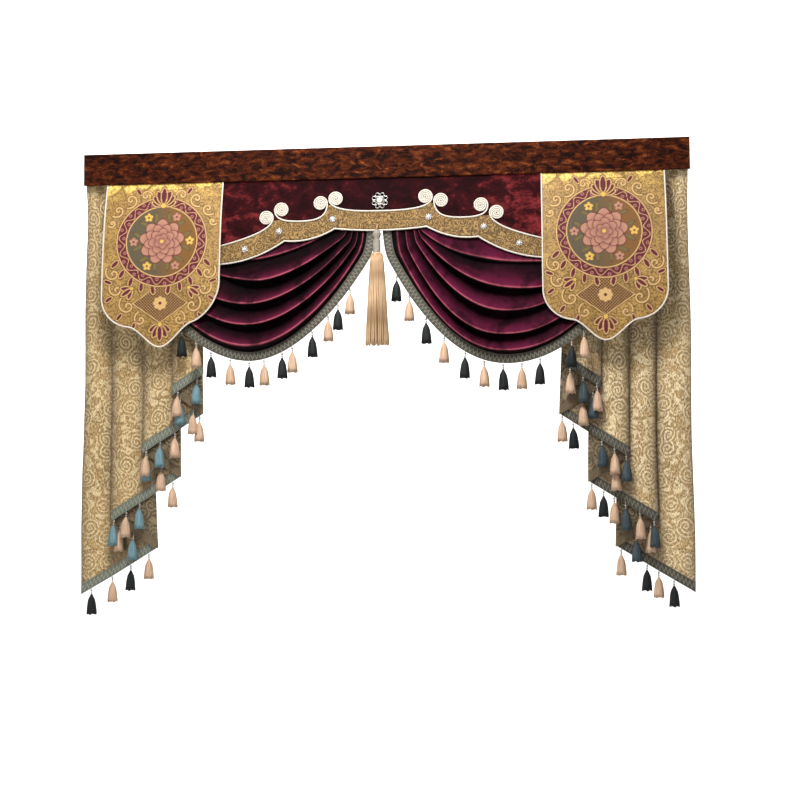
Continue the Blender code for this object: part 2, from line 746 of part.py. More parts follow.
def make_tail(side, materials, shown, cutters):
    name = SIDE_NAME[side]
    columns = tail_columns()
    steps, rows = len(columns) - 1, len(TAIL_ROWS) - 1
    strip_height = STRIP_WIDTH * math.hypot(1.0, TAIL_CUT[side][1])

    def place(u, v):
        column = columns[round(u * steps)]
        low = tail_foot(side, column) + strip_height + HEM_GAP
        return tail_point(side, column, lerp(CLOTH_TOP, low, TAIL_ROWS[round((1 - v) * rows)]))

    cloth_sheet(f"tail_{name}", steps, rows, place, CLOTH, materials["damask"], shown)

    def strip_place(u, v):
        column = columns[round(u * steps)]
        return tail_point(side, column, tail_foot(side, column) + strip_height * v)

    fringe = cloth_sheet(
        f"tail_fringe_{name}", steps, 1, strip_place, STRIP_THICKNESS, materials["braid"], shown
    )
    spots, swings = [], []
    for panel, shares in enumerate(TAIL_TASSELS[side]):
        for share in shares:
            column = ("panel", panel, share)
            foot = tail_foot(side, column)
            spots.append(tail_point(side, column, foot))
            swings.append(0.0 if panel == 0 else TAIL_TASSEL_CLEAR - tail_pitch(foot))
    add_tassels(fringe, spots, f"tassels tail {name}", cutters, swings)


# Centre tassel


def make_centre_tassel(materials, shown, cutters):
    """A turned head and neck with two rings of strands let into it, hung on a short loop of cord."""
    axis = Vector((CENTRE_X, CENTRE_Y, 0.0))
    bm = bmesh.new()
    add_turned_form(bm, [(axis + Vector((0, 0, z)), radius) for z, radius in CENTRE_HEAD], CENTRE_SIDES)
    mesh = bpy.data.meshes.new("centre_tassel")
    bm.to_mesh(mesh)
    bm.free()
    head = add_object("centre_tassel", mesh, materials["bullion"], shown)
    strands = bmesh.new()
    for number, root, foot, root_width, foot_width in STRAND_RINGS:
        for index in range(number):
            angle = 2 * math.pi * (index + 0.5) / number
            way = Vector((math.cos(angle), math.sin(angle), 0.0))
            rings = []
            for share in (0.0, 0.45, 1.0):
                reach = lerp(root, foot, share**0.8)
                width = lerp(root_width, foot_width, share)
                height = lerp(STRAND_TOP, STRAND_FOOT, share)
                rings.append((axis + way * reach + Vector((0, 0, height)), width / 2))
            add_turned_form(strands, rings, 3)
    join_with(head, strands, "strands", cutters)
    loop = [
        (CENTRE_X, BORDER_Y - CLOTH / 2 - SEAM_GAP, -0.2615),
        (CENTRE_X, -0.012, -0.2610),
        (CENTRE_X, -0.026, -0.2645),
        (CENTRE_X, CENTRE_Y, -0.2730),
        (CENTRE_X, CENTRE_Y, CENTRE_HEAD[0][0] + SEAM_GAP),
    ]
    round_cord("centre_hanger", loop, HANGER, 1, materials["bullion"], shown)


def make_band(materials, shown):
    bm = bmesh.new()
    bmesh.ops.create_cube(bm, size=1.0)
    for vert in bm.verts:
        vert.co = Vector(
            (
                vert.co.x * BAND_WIDTH,
                (vert.co.y - 0.5) * BAND_THICKNESS,
                (vert.co.z - 0.5) * BAND_HEIGHT,
            )
        )
    mesh = bpy.data.meshes.new("heading_band")
    bm.to_mesh(mesh)
    bm.free()
    add_object("heading_band", mesh, materials["band"], shown)


def main():
    clear_scene()
    shown, cutters = make_collection("valance"), make_collection("cutters")
    materials = make_materials()
    make_band(materials, shown)
    make_panel(materials, shown)
    make_border(materials, shown)
    make_piping(materials, shown)
    make_beads(materials, shown)
    make_brooch(materials, shown, cutters)
    for side in (LEFT, RIGHT):
        make_tab(side, materials, shown)
        make_swag(side, materials, shown, cutters)
        make_tail(side, materials, shown, cutters)
    make_centre_tassel(materials, shown, cutters)


main()
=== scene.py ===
"""Dresses the swagged window valance: heading band, velvet panel, piped gold border, swags, tabs and tails.

Metres, +Z up, -Y out into the room. The origin is the middle of the heading band's top edge.
"""

from __future__ import annotations

import logging
import math
from dataclasses import dataclass, field
from enum import Enum

import bmesh
import bpy
import numpy as np
from mathutils import Matrix, Vector
from numpy.typing import NDArray

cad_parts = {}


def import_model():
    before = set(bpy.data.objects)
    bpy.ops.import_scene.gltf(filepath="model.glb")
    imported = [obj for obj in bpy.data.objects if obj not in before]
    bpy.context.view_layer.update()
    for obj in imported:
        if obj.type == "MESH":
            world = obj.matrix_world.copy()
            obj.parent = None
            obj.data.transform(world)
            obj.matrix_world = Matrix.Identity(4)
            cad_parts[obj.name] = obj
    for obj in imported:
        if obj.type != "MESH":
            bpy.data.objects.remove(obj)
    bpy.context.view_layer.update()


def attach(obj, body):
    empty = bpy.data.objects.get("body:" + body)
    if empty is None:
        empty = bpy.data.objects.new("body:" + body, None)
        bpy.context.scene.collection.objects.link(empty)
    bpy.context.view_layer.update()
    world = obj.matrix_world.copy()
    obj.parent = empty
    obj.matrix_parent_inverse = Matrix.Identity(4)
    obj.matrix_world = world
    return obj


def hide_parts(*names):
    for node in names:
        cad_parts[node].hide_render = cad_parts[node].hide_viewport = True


Array = NDArray[np.float64]
Colour = tuple[float, float, float]
Piece = bpy.types.Object
Material = bpy.types.Material
LOG = logging.getLogger("valance")

CLOTH = 0.002
SEAM_GAP = 0.0003
HEM_GAP = 0.0008
CLOTH_TOP = -0.004
BAND_HEIGHT = 0.105
TAB_Y = SEAM_GAP + CLOTH / 2
BORDER_Y = TAB_Y
PANEL_Y = TAB_Y + CLOTH + SEAM_GAP
PANEL_FRONT = PANEL_Y - CLOTH / 2
PANEL_BACK = PANEL_Y + CLOTH / 2
STRIP_WIDTH = 0.028
STRIP_LAP = 0.0005
STRIP_ROWS = np.array([0.0, 0.012, 0.20, 0.40, 0.60, 0.80, 0.988, 1.0])


class Side(Enum):
    """The two halves of the valance, as seen from the room."""

    LEFT = -1
    RIGHT = 1

    @property
    def word(self) -> str:
        """The half's name in the nodes' names."""
        return self.name.lower()


class Thread(Enum):
    """The colours that the small tassels are made in, as material slots of a fringe."""

    BLACK = 2
    BEIGE = 3
    TINTED = 4


BLACK, BEIGE, TINTED = Thread


# Curves and grids


def lerp(a: Array | float, b: Array | float, t: Array | float) -> Array:
    """Straight blend, a + (b - a) t."""
    return a + (b - a) * np.asarray(t, float)


def smooth(t: Array | float) -> Array:
    """Even step, 3 t^2 - 2 t^3 with t held between 0 and 1."""
    t = np.clip(t, 0.0, 1.0)
    return t * t * (3.0 - 2.0 * t)


def bezier(points: list[tuple[float, float]], t: Array) -> Array:
    """Points of a Bezier curve, the Bernstein sum over its control points.

    Args:
        points: Control points of two numbers.
        t: Places along the curve, from 0 to 1.

    Returns:
        An array of one (x, z) row for each t.
    """
    n = len(points) - 1
    rows = [math.comb(n, k) * t**k * (1 - t) ** (n - k) for k in range(n + 1)]
    return np.stack(rows, axis=1) @ np.array(points, float)


def mirrored(path: Array, side: Side) -> Array:
    """The path on this side of the middle, its x times -1 on the left."""
    return path * np.array([side.value, 1.0])


def lengths(path: Array) -> Array:
    """Distance along the path to each of its points, the running sum of its steps."""
    return np.concatenate([[0.0], np.cumsum(np.linalg.norm(np.diff(path, axis=0), axis=1))])


def resample(path: Array, step: float) -> Array:
    """The path again, with points at even distances of about one step.

    Args:
        path: Points of the path, one a row.
        step: Wanted distance between the new points.

    Returns:
        The new points.
    """
    run = lengths(path)
    keep = np.concatenate([[True], np.diff(run) > 1e-9])
    run, path = run[keep], path[keep]
    places = np.linspace(0.0, run[-1], max(3, round(run[-1] / step) + 1))
    return np.stack([np.interp(places, run, path[:, k]) for k in range(path.shape[1])], axis=1)


def offset_path(path: Array, distance: float) -> Array:
    """The flat path moved sideways: p + d n, with n the unit normal to the left of its direction.

    Args:
        path: (n, 2) points.
        distance: How far they move.

    Returns:
        The moved points.
    """
    along = np.gradient(path, axis=0)
    normal = np.stack([-along[:, 1], along[:, 0]], axis=1)
    return path + distance * normal / np.linalg.norm(normal, axis=1, keepdims=True)


def upright(path: Array, y: float) -> Array:
    """A flat (x, z) path as three-number points at depth y."""
    return np.stack([path[:, 0], np.full(len(path), y), path[:, 1]], axis=1)


def ripple(u: Array, v: Array, seeds: tuple[tuple[float, float, float], ...]) -> Array:
    """Sum of plane waves sin(a u + b v + c), one for each (a, b, c), scaled to stay within 1."""
    total = sum(np.sin(a * u + b * v + c) for a, b, c in seeds)
    return total / len(seeds)


class MeshSketch:
    """Collects grids of quads with their UVs, masks and material slots, and makes one object of them."""

    def __init__(self) -> None:
        """Starts empty."""
        self.points: list[Array] = []
        self.quads: list[NDArray[np.int64]] = []
        self.uvs: list[Array] = []
        self.slots: list[NDArray[np.int64]] = []
        self.masks: dict[str, list[Array]] = {}
        self.count = 0

    def add_grid(self, points: Array, uv: Array, slot: int = 0, **masks: Array) -> MeshSketch:
        """Adds a surface given as rows and columns of points.

        Args:
            points: (rows, columns, 3) points.
            uv: (rows, columns, 2) texture places.
            slot: Material slot of its faces.
            **masks: (rows, columns) numbers, or (rows, columns, 4) colours, kept as attributes.

        Returns:
            The sketch itself.
        """
        rows, columns = points.shape[:2]
        index = np.arange(rows * columns).reshape(rows, columns) + self.count
        quads = np.stack([index[:-1, :-1], index[:-1, 1:], index[1:, 1:], index[1:, :-1]], axis=-1)
        self.points.append(points.reshape(-1, 3))
        self.quads.append(quads.reshape(-1, 4))
        self.uvs.append(uv.reshape(-1, 2))
        self.slots.append(np.full(len(quads.reshape(-1, 4)), slot))
        for name, values in masks.items():
            self.masks.setdefault(name, []).append(values.reshape(rows * columns, -1))
        self.count += rows * columns
        return self

    def add_copies(self, points: Array, uv: Array, moves: Array, slots: list[int]) -> None:
        """Adds the same grid once for each move, each in its own slot.

        Args:
            points: The grid's points.
            uv: Their texture places.
            moves: (n, 3) moves.
            slots: The n material slots.
        """
        for move, slot in zip(moves, slots):
            self.add_grid(points + move, uv, slot)

    def make(self, name: str, materials: list[Material], merge: float = 0.0) -> Piece:
        """Makes the object.

        Args:
            name: Name of the object.
            materials: Materials in the order of the slots.
            merge: Points nearer than this are joined, which closes seams and poles.

        Returns:
            The new object, in the scene.
        """
        points, quads = np.concatenate(self.points), np.concatenate(self.quads)
        mesh = bpy.data.meshes.new(name)
        mesh.vertices.add(len(points))
        mesh.vertices.foreach_set("co", points.ravel())
        mesh.loops.add(quads.size)
        mesh.loops.foreach_set("vertex_index", quads.ravel())
        mesh.polygons.add(len(quads))
        mesh.polygons.foreach_set("loop_start", np.arange(0, quads.size, 4))
        mesh.polygons.foreach_set("material_index", np.concatenate(self.slots))
        mesh.update(calc_edges=True)
        layer = mesh.uv_layers.new(name="cloth")
        layer.data.foreach_set("uv", np.concatenate(self.uvs)[quads.ravel()].ravel())
        for mask, parts in self.masks.items():
            values = np.concatenate(parts)
            kind, key = ("FLOAT_COLOR", "color") if values.shape[1] == 4 else ("FLOAT", "value")
            mesh.attributes.new(mask, kind, "POINT").data.foreach_set(key, values.ravel())
        for material in materials:
            mesh.materials.append(material)
        if merge:
            bm = bmesh.new()
            bm.from_mesh(mesh)
            bmesh.ops.remove_doubles(bm, verts=bm.verts, dist=merge)
            bmesh.ops.dissolve_degenerate(bm, edges=bm.edges, dist=merge)
            bmesh.ops.recalc_face_normals(bm, faces=bm.faces)
            bm.to_mesh(mesh)
            bm.free()
        mesh.shade_smooth()
        piece = bpy.data.objects.new(name, mesh)
        bpy.context.scene.collection.objects.link(piece)
        return piece


def thicken(piece: Piece, thickness: float, wrong_side: int = 0) -> None:
    """Gives a cloth its thickness, half on each side of the drawn surface.

    Args:
        piece: The cloth, whose faces look the way that its right side does.
        thickness: Thickness of the cloth.
        wrong_side: How many slots on from the right side's material the wrong side's is.
    """
    solidify = piece.modifiers.new("Thickness", "SOLIDIFY")
    solidify.thickness = thickness
    solidify.offset = 0.0
    solidify.material_offset = wrong_side


def settle(piece: Piece, slot: str, *nodes: str) -> Piece:
    """Ties a finished piece to the frame.

    Args:
        piece: The piece.
        slot: Not used.
        *nodes: The nodes that it stands for.

    Returns:
        The same piece.
    """
    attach(piece, "root")
    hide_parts(*nodes)
    return piece


def tube(path: Array, radius: float, sides: int) -> tuple[Array, Array]:
    """A round cord along a path, with closed ends.

    The ring at arc length s is p(s) + r (cos a n + sin a b), and r falls to 0 at both ends. The normal n is
    the part of the y axis across the path, and b is the cross product of the path and n.

    Args:
        path: (n, 3) points along the middle.
        radius: Outer radius.
        sides: Corners round the cord.

    Returns:
        The (n + 2, sides + 1, 3) points and the (n + 2, sides + 1, 2) UVs, in metres and turns.
    """
    along = np.gradient(path, axis=0)
    along /= np.linalg.norm(along, axis=1, keepdims=True)
    guide = np.array([0.0, 1.0, 0.0]) if np.abs(along[:, 1]).max() < 0.9 else np.array([1.0, 0.0, 0.0])
    normal = guide - (along @ guide)[:, None] * along
    normal /= np.linalg.norm(normal, axis=1, keepdims=True)
    binormal = np.cross(along, normal)
    run = lengths(path)
    angle = np.linspace(0.0, 2 * np.pi, sides + 1)
    ring = np.cos(angle)[None, :, None] * normal[:, None, :] + np.sin(angle)[None, :, None] * binormal[:, None, :]
    points = path[:, None, :] + radius * ring
    ends = [np.repeat(path[[k]][:, None, :], sides + 1, axis=1) for k in (0, -1)]
    points = np.concatenate([ends[0], points, ends[1]])
    run = np.concatenate([run[:1], run, run[-1:]])
    uv = np.stack(np.broadcast_arrays(run[:, None], angle[None, :] / (2 * np.pi)), axis=-1)
    return points, uv


def turned(profile: Array, sides: int, flutes: int = 0, depth: float = 0.0) -> tuple[Array, Array]:
    """A turned form about the z axis: (r cos a, r sin a, z) with r = R(z) (1 - depth (1 - cos(flutes a)) / 2).

    Args:
        profile: (n, 2) rows of height and radius, top first.
        sides: Corners round the form.
        flutes: Grooves round the form.
        depth: Depth of a groove as a share of the radius.

    Returns:
        The (n, sides + 1, 3) points and their UVs, turns round and share down.
    """
    angle = np.linspace(0.0, 2 * np.pi, sides + 1)
    radius = profile[:, 1][:, None] * (1 - depth * (1 - np.cos(flutes * angle)) / 2)[None, :]
    height = np.repeat(profile[:, 0][:, None], sides + 1, axis=1)
    points = np.stack([radius * np.cos(angle), radius * np.sin(angle), height], axis=-1)
    down = np.linspace(0.0, 1.0, len(profile))
    uv = np.stack(np.broadcast_arrays(angle[None, :] / (2 * np.pi), down[:, None]), axis=-1)
    return points, uv


def ball(centre: tuple[float, float, float], radius: float, squash: float, sides: int) -> tuple[Array, Array]:
    """A bead: centre + r (sin p cos a, squash sin p sin a, cos p), p from 0 to pi.

    Args:
        centre: Middle of the bead.
        radius: Its radius.
        squash: Its depth as a share of its width.
        sides: Corners round it.

    Returns:
        The bead's points and UVs.
    """
    polar = np.linspace(0.0, np.pi, sides // 2 + 1)
    profile = np.stack([radius * np.cos(polar), radius * np.sin(polar)], axis=1)
    points, uv = turned(profile, sides)
    return points * np.array([1.0, squash, 1.0]) + np.array(centre), uv


# Shader sketching


class Signal:
    """A value that runs from one shader node to another. Sums and the like on it become Math nodes."""

    def __init__(self, nodes: Nodes, socket: bpy.types.NodeSocket) -> None:
        """Holds an output socket and the nodes that it is among."""
        self.nodes, self.socket = nodes, socket

    def __add__(self, other: Value) -> Signal:
        """The sum."""
        return self.nodes.math("ADD", self, other)

    def __sub__(self, other: Value) -> Signal:
        """The difference."""
        return self.nodes.math("SUBTRACT", self, other)

    def __rsub__(self, other: Value) -> Signal:
        """A constant less the signal."""
        return self.nodes.math("SUBTRACT", other, self)

    def __mul__(self, other: Value) -> Signal:
        """The product."""
        return self.nodes.math("MULTIPLY", self, other)

    def __abs__(self) -> Signal:
        """The size without its sign."""
        return self.nodes.math("ABSOLUTE", self)


Value = Signal | float | Colour


class Nodes:
    """A node tree with short calls for the nodes that the finishes use."""

    def __init__(self, tree: bpy.types.NodeTree) -> None:
        """Holds the tree."""
        self.tree = tree

    def add(self, kind: str, **settings: object) -> bpy.types.Node:
        """Adds a node.

        Args:
            kind: The node's type.
            **settings: Its properties, such as the operation.

        Returns:
            The new node.
        """
        node = self.tree.nodes.new(kind)
        for name, value in settings.items():
            setattr(node, name, value)
        return node

    def feed(self, socket: bpy.types.NodeSocket, value: Value) -> None:
        """Links an input to a signal, or sets its constant.

        Args:
            socket: The input.
            value: The signal or constant.
        """
        if isinstance(value, Signal):
            self.tree.links.new(value.socket, socket)
        else:
            socket.default_value = (*value, 1.0) if socket.type == "RGBA" else value

    def fill(self, node: bpy.types.Node, *values: Value, **named: Value) -> bpy.types.Node:
        """Gives a node its inputs.

        Args:
            node: The node.
            *values: Signals or constants for its first inputs, in order.
            **named: Signals or constants for inputs by name, with _ for a space.

        Returns:
            The same node.
        """
        for socket, value in zip(node.inputs, values):
            self.feed(socket, value)
        for name, value in named.items():
            self.feed(node.inputs[name.replace("_", " ")], value)
        return node

    def out(self, node: bpy.types.Node, name: str | int = 0) -> Signal:
        """The signal from one of a node's outputs."""
        return Signal(self, node.outputs[name])

    def cloth(self) -> Signal:
        """The piece's own UV map."""
        return self.out(self.add("ShaderNodeUVMap", uv_map="cloth"))

    def place(self) -> Signal:
        """The place on the object, in metres."""
        return self.out(self.add("ShaderNodeTexCoord"), "Object")

    def mask(self, name: str) -> Signal:
        """A number that the piece's mesh holds as an attribute."""
        return self.out(self.add("ShaderNodeAttribute", attribute_name=name), "Fac")

    def math(self, operation: str, *values: Value, clamp: bool = False) -> Signal:
        """A Math node on up to three numbers."""
        return self.out(self.fill(self.add("ShaderNodeMath", operation=operation, use_clamp=clamp), *values))

    def arrow(self, operation: str, *values: Value) -> Signal:
        """A Vector Math node on up to three vectors."""
        return self.out(self.fill(self.add("ShaderNodeVectorMath", operation=operation), *values))

    def mix(self, share: Value, a: Value, b: Value) -> Signal:
        """Mixes two colours.

        Args:
            share: 0 for the first colour, 1 for the second.
            a: The first colour.
            b: The second colour.

        Returns:
            The mixed colour.
        """
        node = self.add("ShaderNodeMix", data_type="RGBA")
        for index, value in ((0, share), (6, a), (7, b)):
            self.feed(node.inputs[index], value)
        return self.out(node, 2)

    def ramp(self, value: Signal, stops: list[tuple[float, Colour]]) -> Signal:
        """Looks a value up in a row of colours.

        Args:
            value: The value.
            stops: The colours, each with its place from 0 to 1.

        Returns:
            The colour.
        """
        node = self.fill(self.add("ShaderNodeValToRGB"), value)
        while len(node.color_ramp.elements) < len(stops):
            node.color_ramp.elements.new(0.5)
        for element, (place, colour) in zip(node.color_ramp.elements, stops):
            element.position = place
            element.color = (*colour, 1.0)
        return self.out(node)

    def step(self, value: Signal, low: float, high: float) -> Signal:
        """0 at low and past it, 1 at high and past it, and an even curve between."""
        node = self.add("ShaderNodeMapRange", interpolation_type="SMOOTHSTEP")
        return self.out(self.fill(node, value, low, high))

    def noise(self, vector: Signal, scale: Value, detail: float, warp: float = 0.0) -> Signal:
        """The value of a noise texture."""
        node = self.add("ShaderNodeTexNoise")
        return self.out(self.fill(node, Vector=vector, Scale=scale, Detail=detail, Distortion=warp))

    def shaken(self, vector: Signal, by: Signal, scale: float, reach: float) -> Signal:
        """Moves a flat place about: vector + reach (r, g, 0), with r and g from a coloured noise.

        Args:
            vector: The place.
            by: Where the noise is read.
            scale: Scale of the noise.
            reach: How far the place moves at most.

        Returns:
            The moved place.
        """
        noise = self.fill(self.add("ShaderNodeTexNoise", noise_dimensions="2D"), Vector=by, Scale=scale)
        return self.arrow("MULTIPLY_ADD", self.out(noise, "Color"), (reach, reach, 0.0), vector)

    def stretched(self, vector: Signal, scale: tuple[float, float, float]) -> Signal:
        """The vector times a scale for each axis."""
        return self.out(self.fill(self.add("ShaderNodeMapping"), Vector=vector, Scale=scale))

    def split(self, vector: Signal) -> list[Signal]:
        """The three numbers of a vector."""
        return [Signal(self, socket) for socket in self.fill(self.add("ShaderNodeSeparateXYZ"), vector).outputs]

    def bump(self, height: Signal, distance: float, strength: float) -> Signal:
        """A normal from a height in units of the distance."""
        return self.out(self.fill(self.add("ShaderNodeBump"), Height=height, Distance=distance, Strength=strength))

    def use(self, group: bpy.types.NodeTree, **values: Value) -> list[Signal]:
        """Places a shared group with its own values, and gives its outputs in order."""
        node = self.fill(self.add("ShaderNodeGroup", node_tree=group), **values)
        return [Signal(self, socket) for socket in node.outputs]


def new_group(
    name: str, inputs: dict[str, float | None], outputs: list[str]
) -> tuple[Nodes, list[Signal], bpy.types.Node]:
    """Starts a shared shader group.

    Args:
        name: Name of the group.
        inputs: Input names with their usual value, or None for a vector.
        outputs: Names of the outputs, all plain numbers.

    Returns:
        The group's nodes, its inputs as signals, and its Group Output node.
    """
    tree = bpy.data.node_groups.new(name, "ShaderNodeTree")
    for title, value in inputs.items():
        kind = "NodeSocketVector" if value is None else "NodeSocketFloat"
        socket = tree.interface.new_socket(title, in_out="INPUT", socket_type=kind)
        if value is not None:
            socket.default_value = value
    for title in outputs:
        tree.interface.new_socket(title, in_out="OUTPUT", socket_type="NodeSocketFloat")
    nodes = Nodes(tree)
    start = nodes.add("NodeGroupInput")
    return nodes, [nodes.out(start, title) for title in inputs], nodes.add("NodeGroupOutput")


class Workshop:
    """The shared shader groups, built once."""

    def __init__(self) -> None:
        """Builds the three groups."""
        self.weave, self.pile, self.age = self.make_weave(), self.make_pile(), self.make_age()

    def make_weave(self) -> bpy.types.NodeTree:
        """Over and under threads: Height = |sin(pi T u) sin(pi T v)| (0.5 + slub), the slub a fine noise.

        Returns:
            A group with Vector and Threads in, and Height out.
        """
        nodes, (vector, threads), end = new_group("thread weave", {"Vector": None, "Threads": 900.0}, ["Height"])
        across, down, _ = nodes.split(vector)
        over, under = (nodes.math("SINE", place * threads * math.pi) for place in (across, down))
        slub = nodes.noise(nodes.stretched(vector, (1.0, 0.12, 1.0)), 420.0, 2.0)
        nodes.fill(end, Height=abs(over * under) * (slub + 0.5))
        return nodes.tree

    def make_pile(self) -> bpy.types.NodeTree:
        """Crushed pile: broad warped patches where it lies over, with fine streaks along it.

        Returns:
            A group with Vector, Patches and Streaks in, and Lie and Height out.
        """
        names = {"Vector": None, "Patches": 9.0, "Streaks": 60.0}
        nodes, (vector, patches, streaks), end = new_group("crushed pile", names, ["Lie", "Height"])
        lie = nodes.noise(vector, patches, 5.0, 0.9) * 0.70 + nodes.noise(vector, streaks, 4.0, 0.3) * 0.30
        nodes.fill(end, Lie=lie, Height=lie + nodes.noise(vector, 900.0, 2.0) * 0.25)
        return nodes.tree

    def make_age(self) -> bpy.types.NodeTree:
        """Slight wear and dust: a broad uneven tone from one noise.

        Returns:
            A group with Vector and Scale in, and Mask out.
        """
        nodes, (vector, scale), end = new_group("handled tone", {"Vector": None, "Scale": 5.0}, ["Mask"])
        nodes.fill(end, Mask=nodes.step(nodes.noise(vector, scale, 6.0), 0.30, 0.70))
        return nodes.tree


def start_material(name: str) -> tuple[Material, Nodes, bpy.types.Node]:
    """Starts a material.

    Args:
        name: Name of the material.

    Returns:
        The material, its nodes and its Principled BSDF.
    """
    material = bpy.data.materials.new(name)
    material.use_nodes = True
    return material, Nodes(material.node_tree), material.node_tree.nodes["Principled BSDF"]


def darker(colour: Colour, share: float) -> Colour:
    """The colour times a share."""
    return tuple(share * part for part in colour)


# The finishes


@dataclass(frozen=True)
class Finish:
    """A finish of the valance, under a maker's name for it."""

    name: str

    def make(self, shop: Workshop) -> Material:
        """Builds the material.

        Args:
            shop: The shared shader groups.

        Returns:
            The material.
        """
        material, nodes, shader = start_material(self.name)
        nodes.fill(shader, **self.look(nodes, shop))
        return material

    def look(self, nodes: Nodes, shop: Workshop) -> dict[str, Value]:
        """What the Principled BSDF is given, by the names of its inputs."""
        raise NotImplementedError


@dataclass(frozen=True)
class CrushedVelvet(Finish):
    """Velvet whose pile lies over in patches, dark where it faces the light and bright where it leans.

    The mesh's two masks of painted highlight, a thin bright line along the top of each fold and a softer band above
    it, tint the folds where the mesh has them.
    """

    dark: Colour
    middle: Colour
    bright: Colour
    patches: float
    stretch: tuple[float, float, float]
    sheen: float
    # Colours of painted highlight on the folds: a thin bright line along each fold's top, then a softer band above it.
    crest: Colour | None = None
    glow: Colour | None = None
    # Share of painted light on the ends, with painted shade on the middle.
    painted_end_light: float = 0.0

    def look(self, nodes: Nodes, shop: Workshop) -> dict[str, Value]:
        """The velvet. The share of painted end light sets how much lighter its ends are painted than its middle.

        Args:
            nodes: The material's nodes.
            shop: The shared shader groups.

        Returns:
            What the Principled BSDF is given.
        """
        place = nodes.place()
        ground = nodes.stretched(place, self.stretch)
        lie, height = nodes.use(shop.pile, Vector=ground, Patches=self.patches, Streaks=self.patches * 6)
        # Painted light: the ends lighter, the right one most, and the middle darker.
        if self.painted_end_light:
            along = nodes.split(place)[0]
            left = nodes.step(along, -0.10, -0.40) * (0.75 * self.painted_end_light)
            right = nodes.step(along, 0.15, 0.45) * self.painted_end_light
            lie = lie + (left + right - 0.3 * self.painted_end_light)
        colour = nodes.ramp(lie, [(0.42, self.dark), (0.57, self.middle), (0.76, self.bright)])
        # Painted highlight from the mesh's two masks, broken up by the pile.
        for mask, tint, least in (("glow", self.glow, 0.30), ("crest", self.crest, 0.45)):
            if tint:
                broken = nodes.mask(mask) * (nodes.step(lie, 0.38, 0.60) + least)
                colour = nodes.mix(nodes.math("MULTIPLY", broken, 0.80, clamp=True), colour, tint)
        return dict(
            Base_Color=colour,
            Normal=nodes.bump(height, 0.0012, 0.7),
            Roughness=0.80,
            Specular_IOR_Level=0.06,
            Sheen_Weight=self.sheen,
            Sheen_Roughness=0.35,
            Sheen_Tint=self.bright,
        )


@dataclass(frozen=True)
class ScrollDamask(Finish):
    """Gold damask woven with coiled scrolls, leaves and fine branching lines.

    The mesh's mask of painted shade, in the share given by the last field, darkens it where the cloth turns from the
    light.
    """

    ground: Colour
    figure: Colour
    outline: Colour
    scroll: float = 0.080
    leaves: float = 26.0
    lines: float = 62.0
    # Share of painted shade from the mesh's mask.
    crease: float = 0.72

    def rings(self, nodes: Nodes, cloth: Signal) -> tuple[Signal, Signal]:
        """Spirals about the cell centres of a Voronoi pattern: sin(a + 40 r), a the angle and r the distance.

        Args:
            nodes: The material's nodes.
            cloth: The place on the cloth.

        Returns:
            The spirals' wave from -1 to 1, and a mask of where they are.
        """
        place = nodes.stretched(cloth, (1 / self.scroll, 1 / self.scroll, 1.0))
        bend = nodes.shaken(place, cloth, 1.1 / self.scroll, 0.25)
        cells = nodes.add("ShaderNodeTexVoronoi", voronoi_dimensions="2D", feature="F1")
        nodes.fill(cells, Vector=bend, Scale=1.0, Randomness=0.70)
        x, y, _ = nodes.split(nodes.arrow("SUBTRACT", bend, nodes.out(cells, "Position")))
        reach = nodes.out(cells, "Distance")
        return nodes.math("SINE", nodes.math("ARCTAN2", y, x) + reach * 40.0), nodes.step(reach, 0.46, 0.36)

    def look(self, nodes: Nodes, shop: Workshop) -> dict[str, Value]:
        """The damask: scrolls inside the rings' mask, leaves outside it, vines and flecks all over.

        Args:
            nodes: The material's nodes.
            shop: The shared shader groups.

        Returns:
            What the Principled BSDF is given.
        """
        cloth = nodes.cloth()
        wave, inside = self.rings(nodes, nodes.shaken(cloth, cloth, 150.0, 0.006))
        outside = 1.0 - inside
        leaf = nodes.noise(cloth, self.leaves, 2.0, 2.4)
        vine = nodes.noise(cloth, self.lines, 1.5, 1.8)
        (tone,) = nodes.use(shop.age, Vector=cloth, Scale=4.0)
        figure = nodes.step(wave, -0.1, 0.5) * inside + nodes.step(leaf, 0.49, 0.54) * outside
        rim = nodes.step(abs(wave + 0.25), 0.42, 0.10) * inside
        rim = rim + nodes.step(abs(leaf - 0.47), 0.018, 0.004) * outside
        vines = nodes.step(abs(vine - 0.5), 0.030, 0.008)
        dark = nodes.math("MAXIMUM", rim * 0.80, vines * 0.55, clamp=True)
        woven = nodes.mix(tone, self.ground, darker(self.ground, 0.70))
        woven = nodes.mix(figure * 0.75, woven, self.figure)
        woven = nodes.mix(dark, woven, self.outline)
        fleck = nodes.noise(nodes.stretched(cloth, (1.0, 0.45, 1.0)), 260.0, 2.0)
        woven = nodes.mix(nodes.step(fleck, 0.53, 0.63) * 0.50, woven, self.figure)
        woven = nodes.mix(nodes.step(fleck, 0.46, 0.36) * 0.60, woven, self.outline)
        # Painted shade where the cloth turns from the light, from the mesh's mask.
        if self.crease:
            woven = nodes.mix(nodes.mask("crease") * self.crease, woven, self.outline)
        (threads,) = nodes.use(shop.weave, Vector=cloth, Threads=620.0)
        return dict(
            Base_Color=woven,
            Normal=nodes.bump(figure + threads * 0.5 - dark, 0.0009, 0.6),
            Roughness=0.60 - figure * 0.18,
            Specular_IOR_Level=0.35,
            Sheen_Weight=0.08,
        )


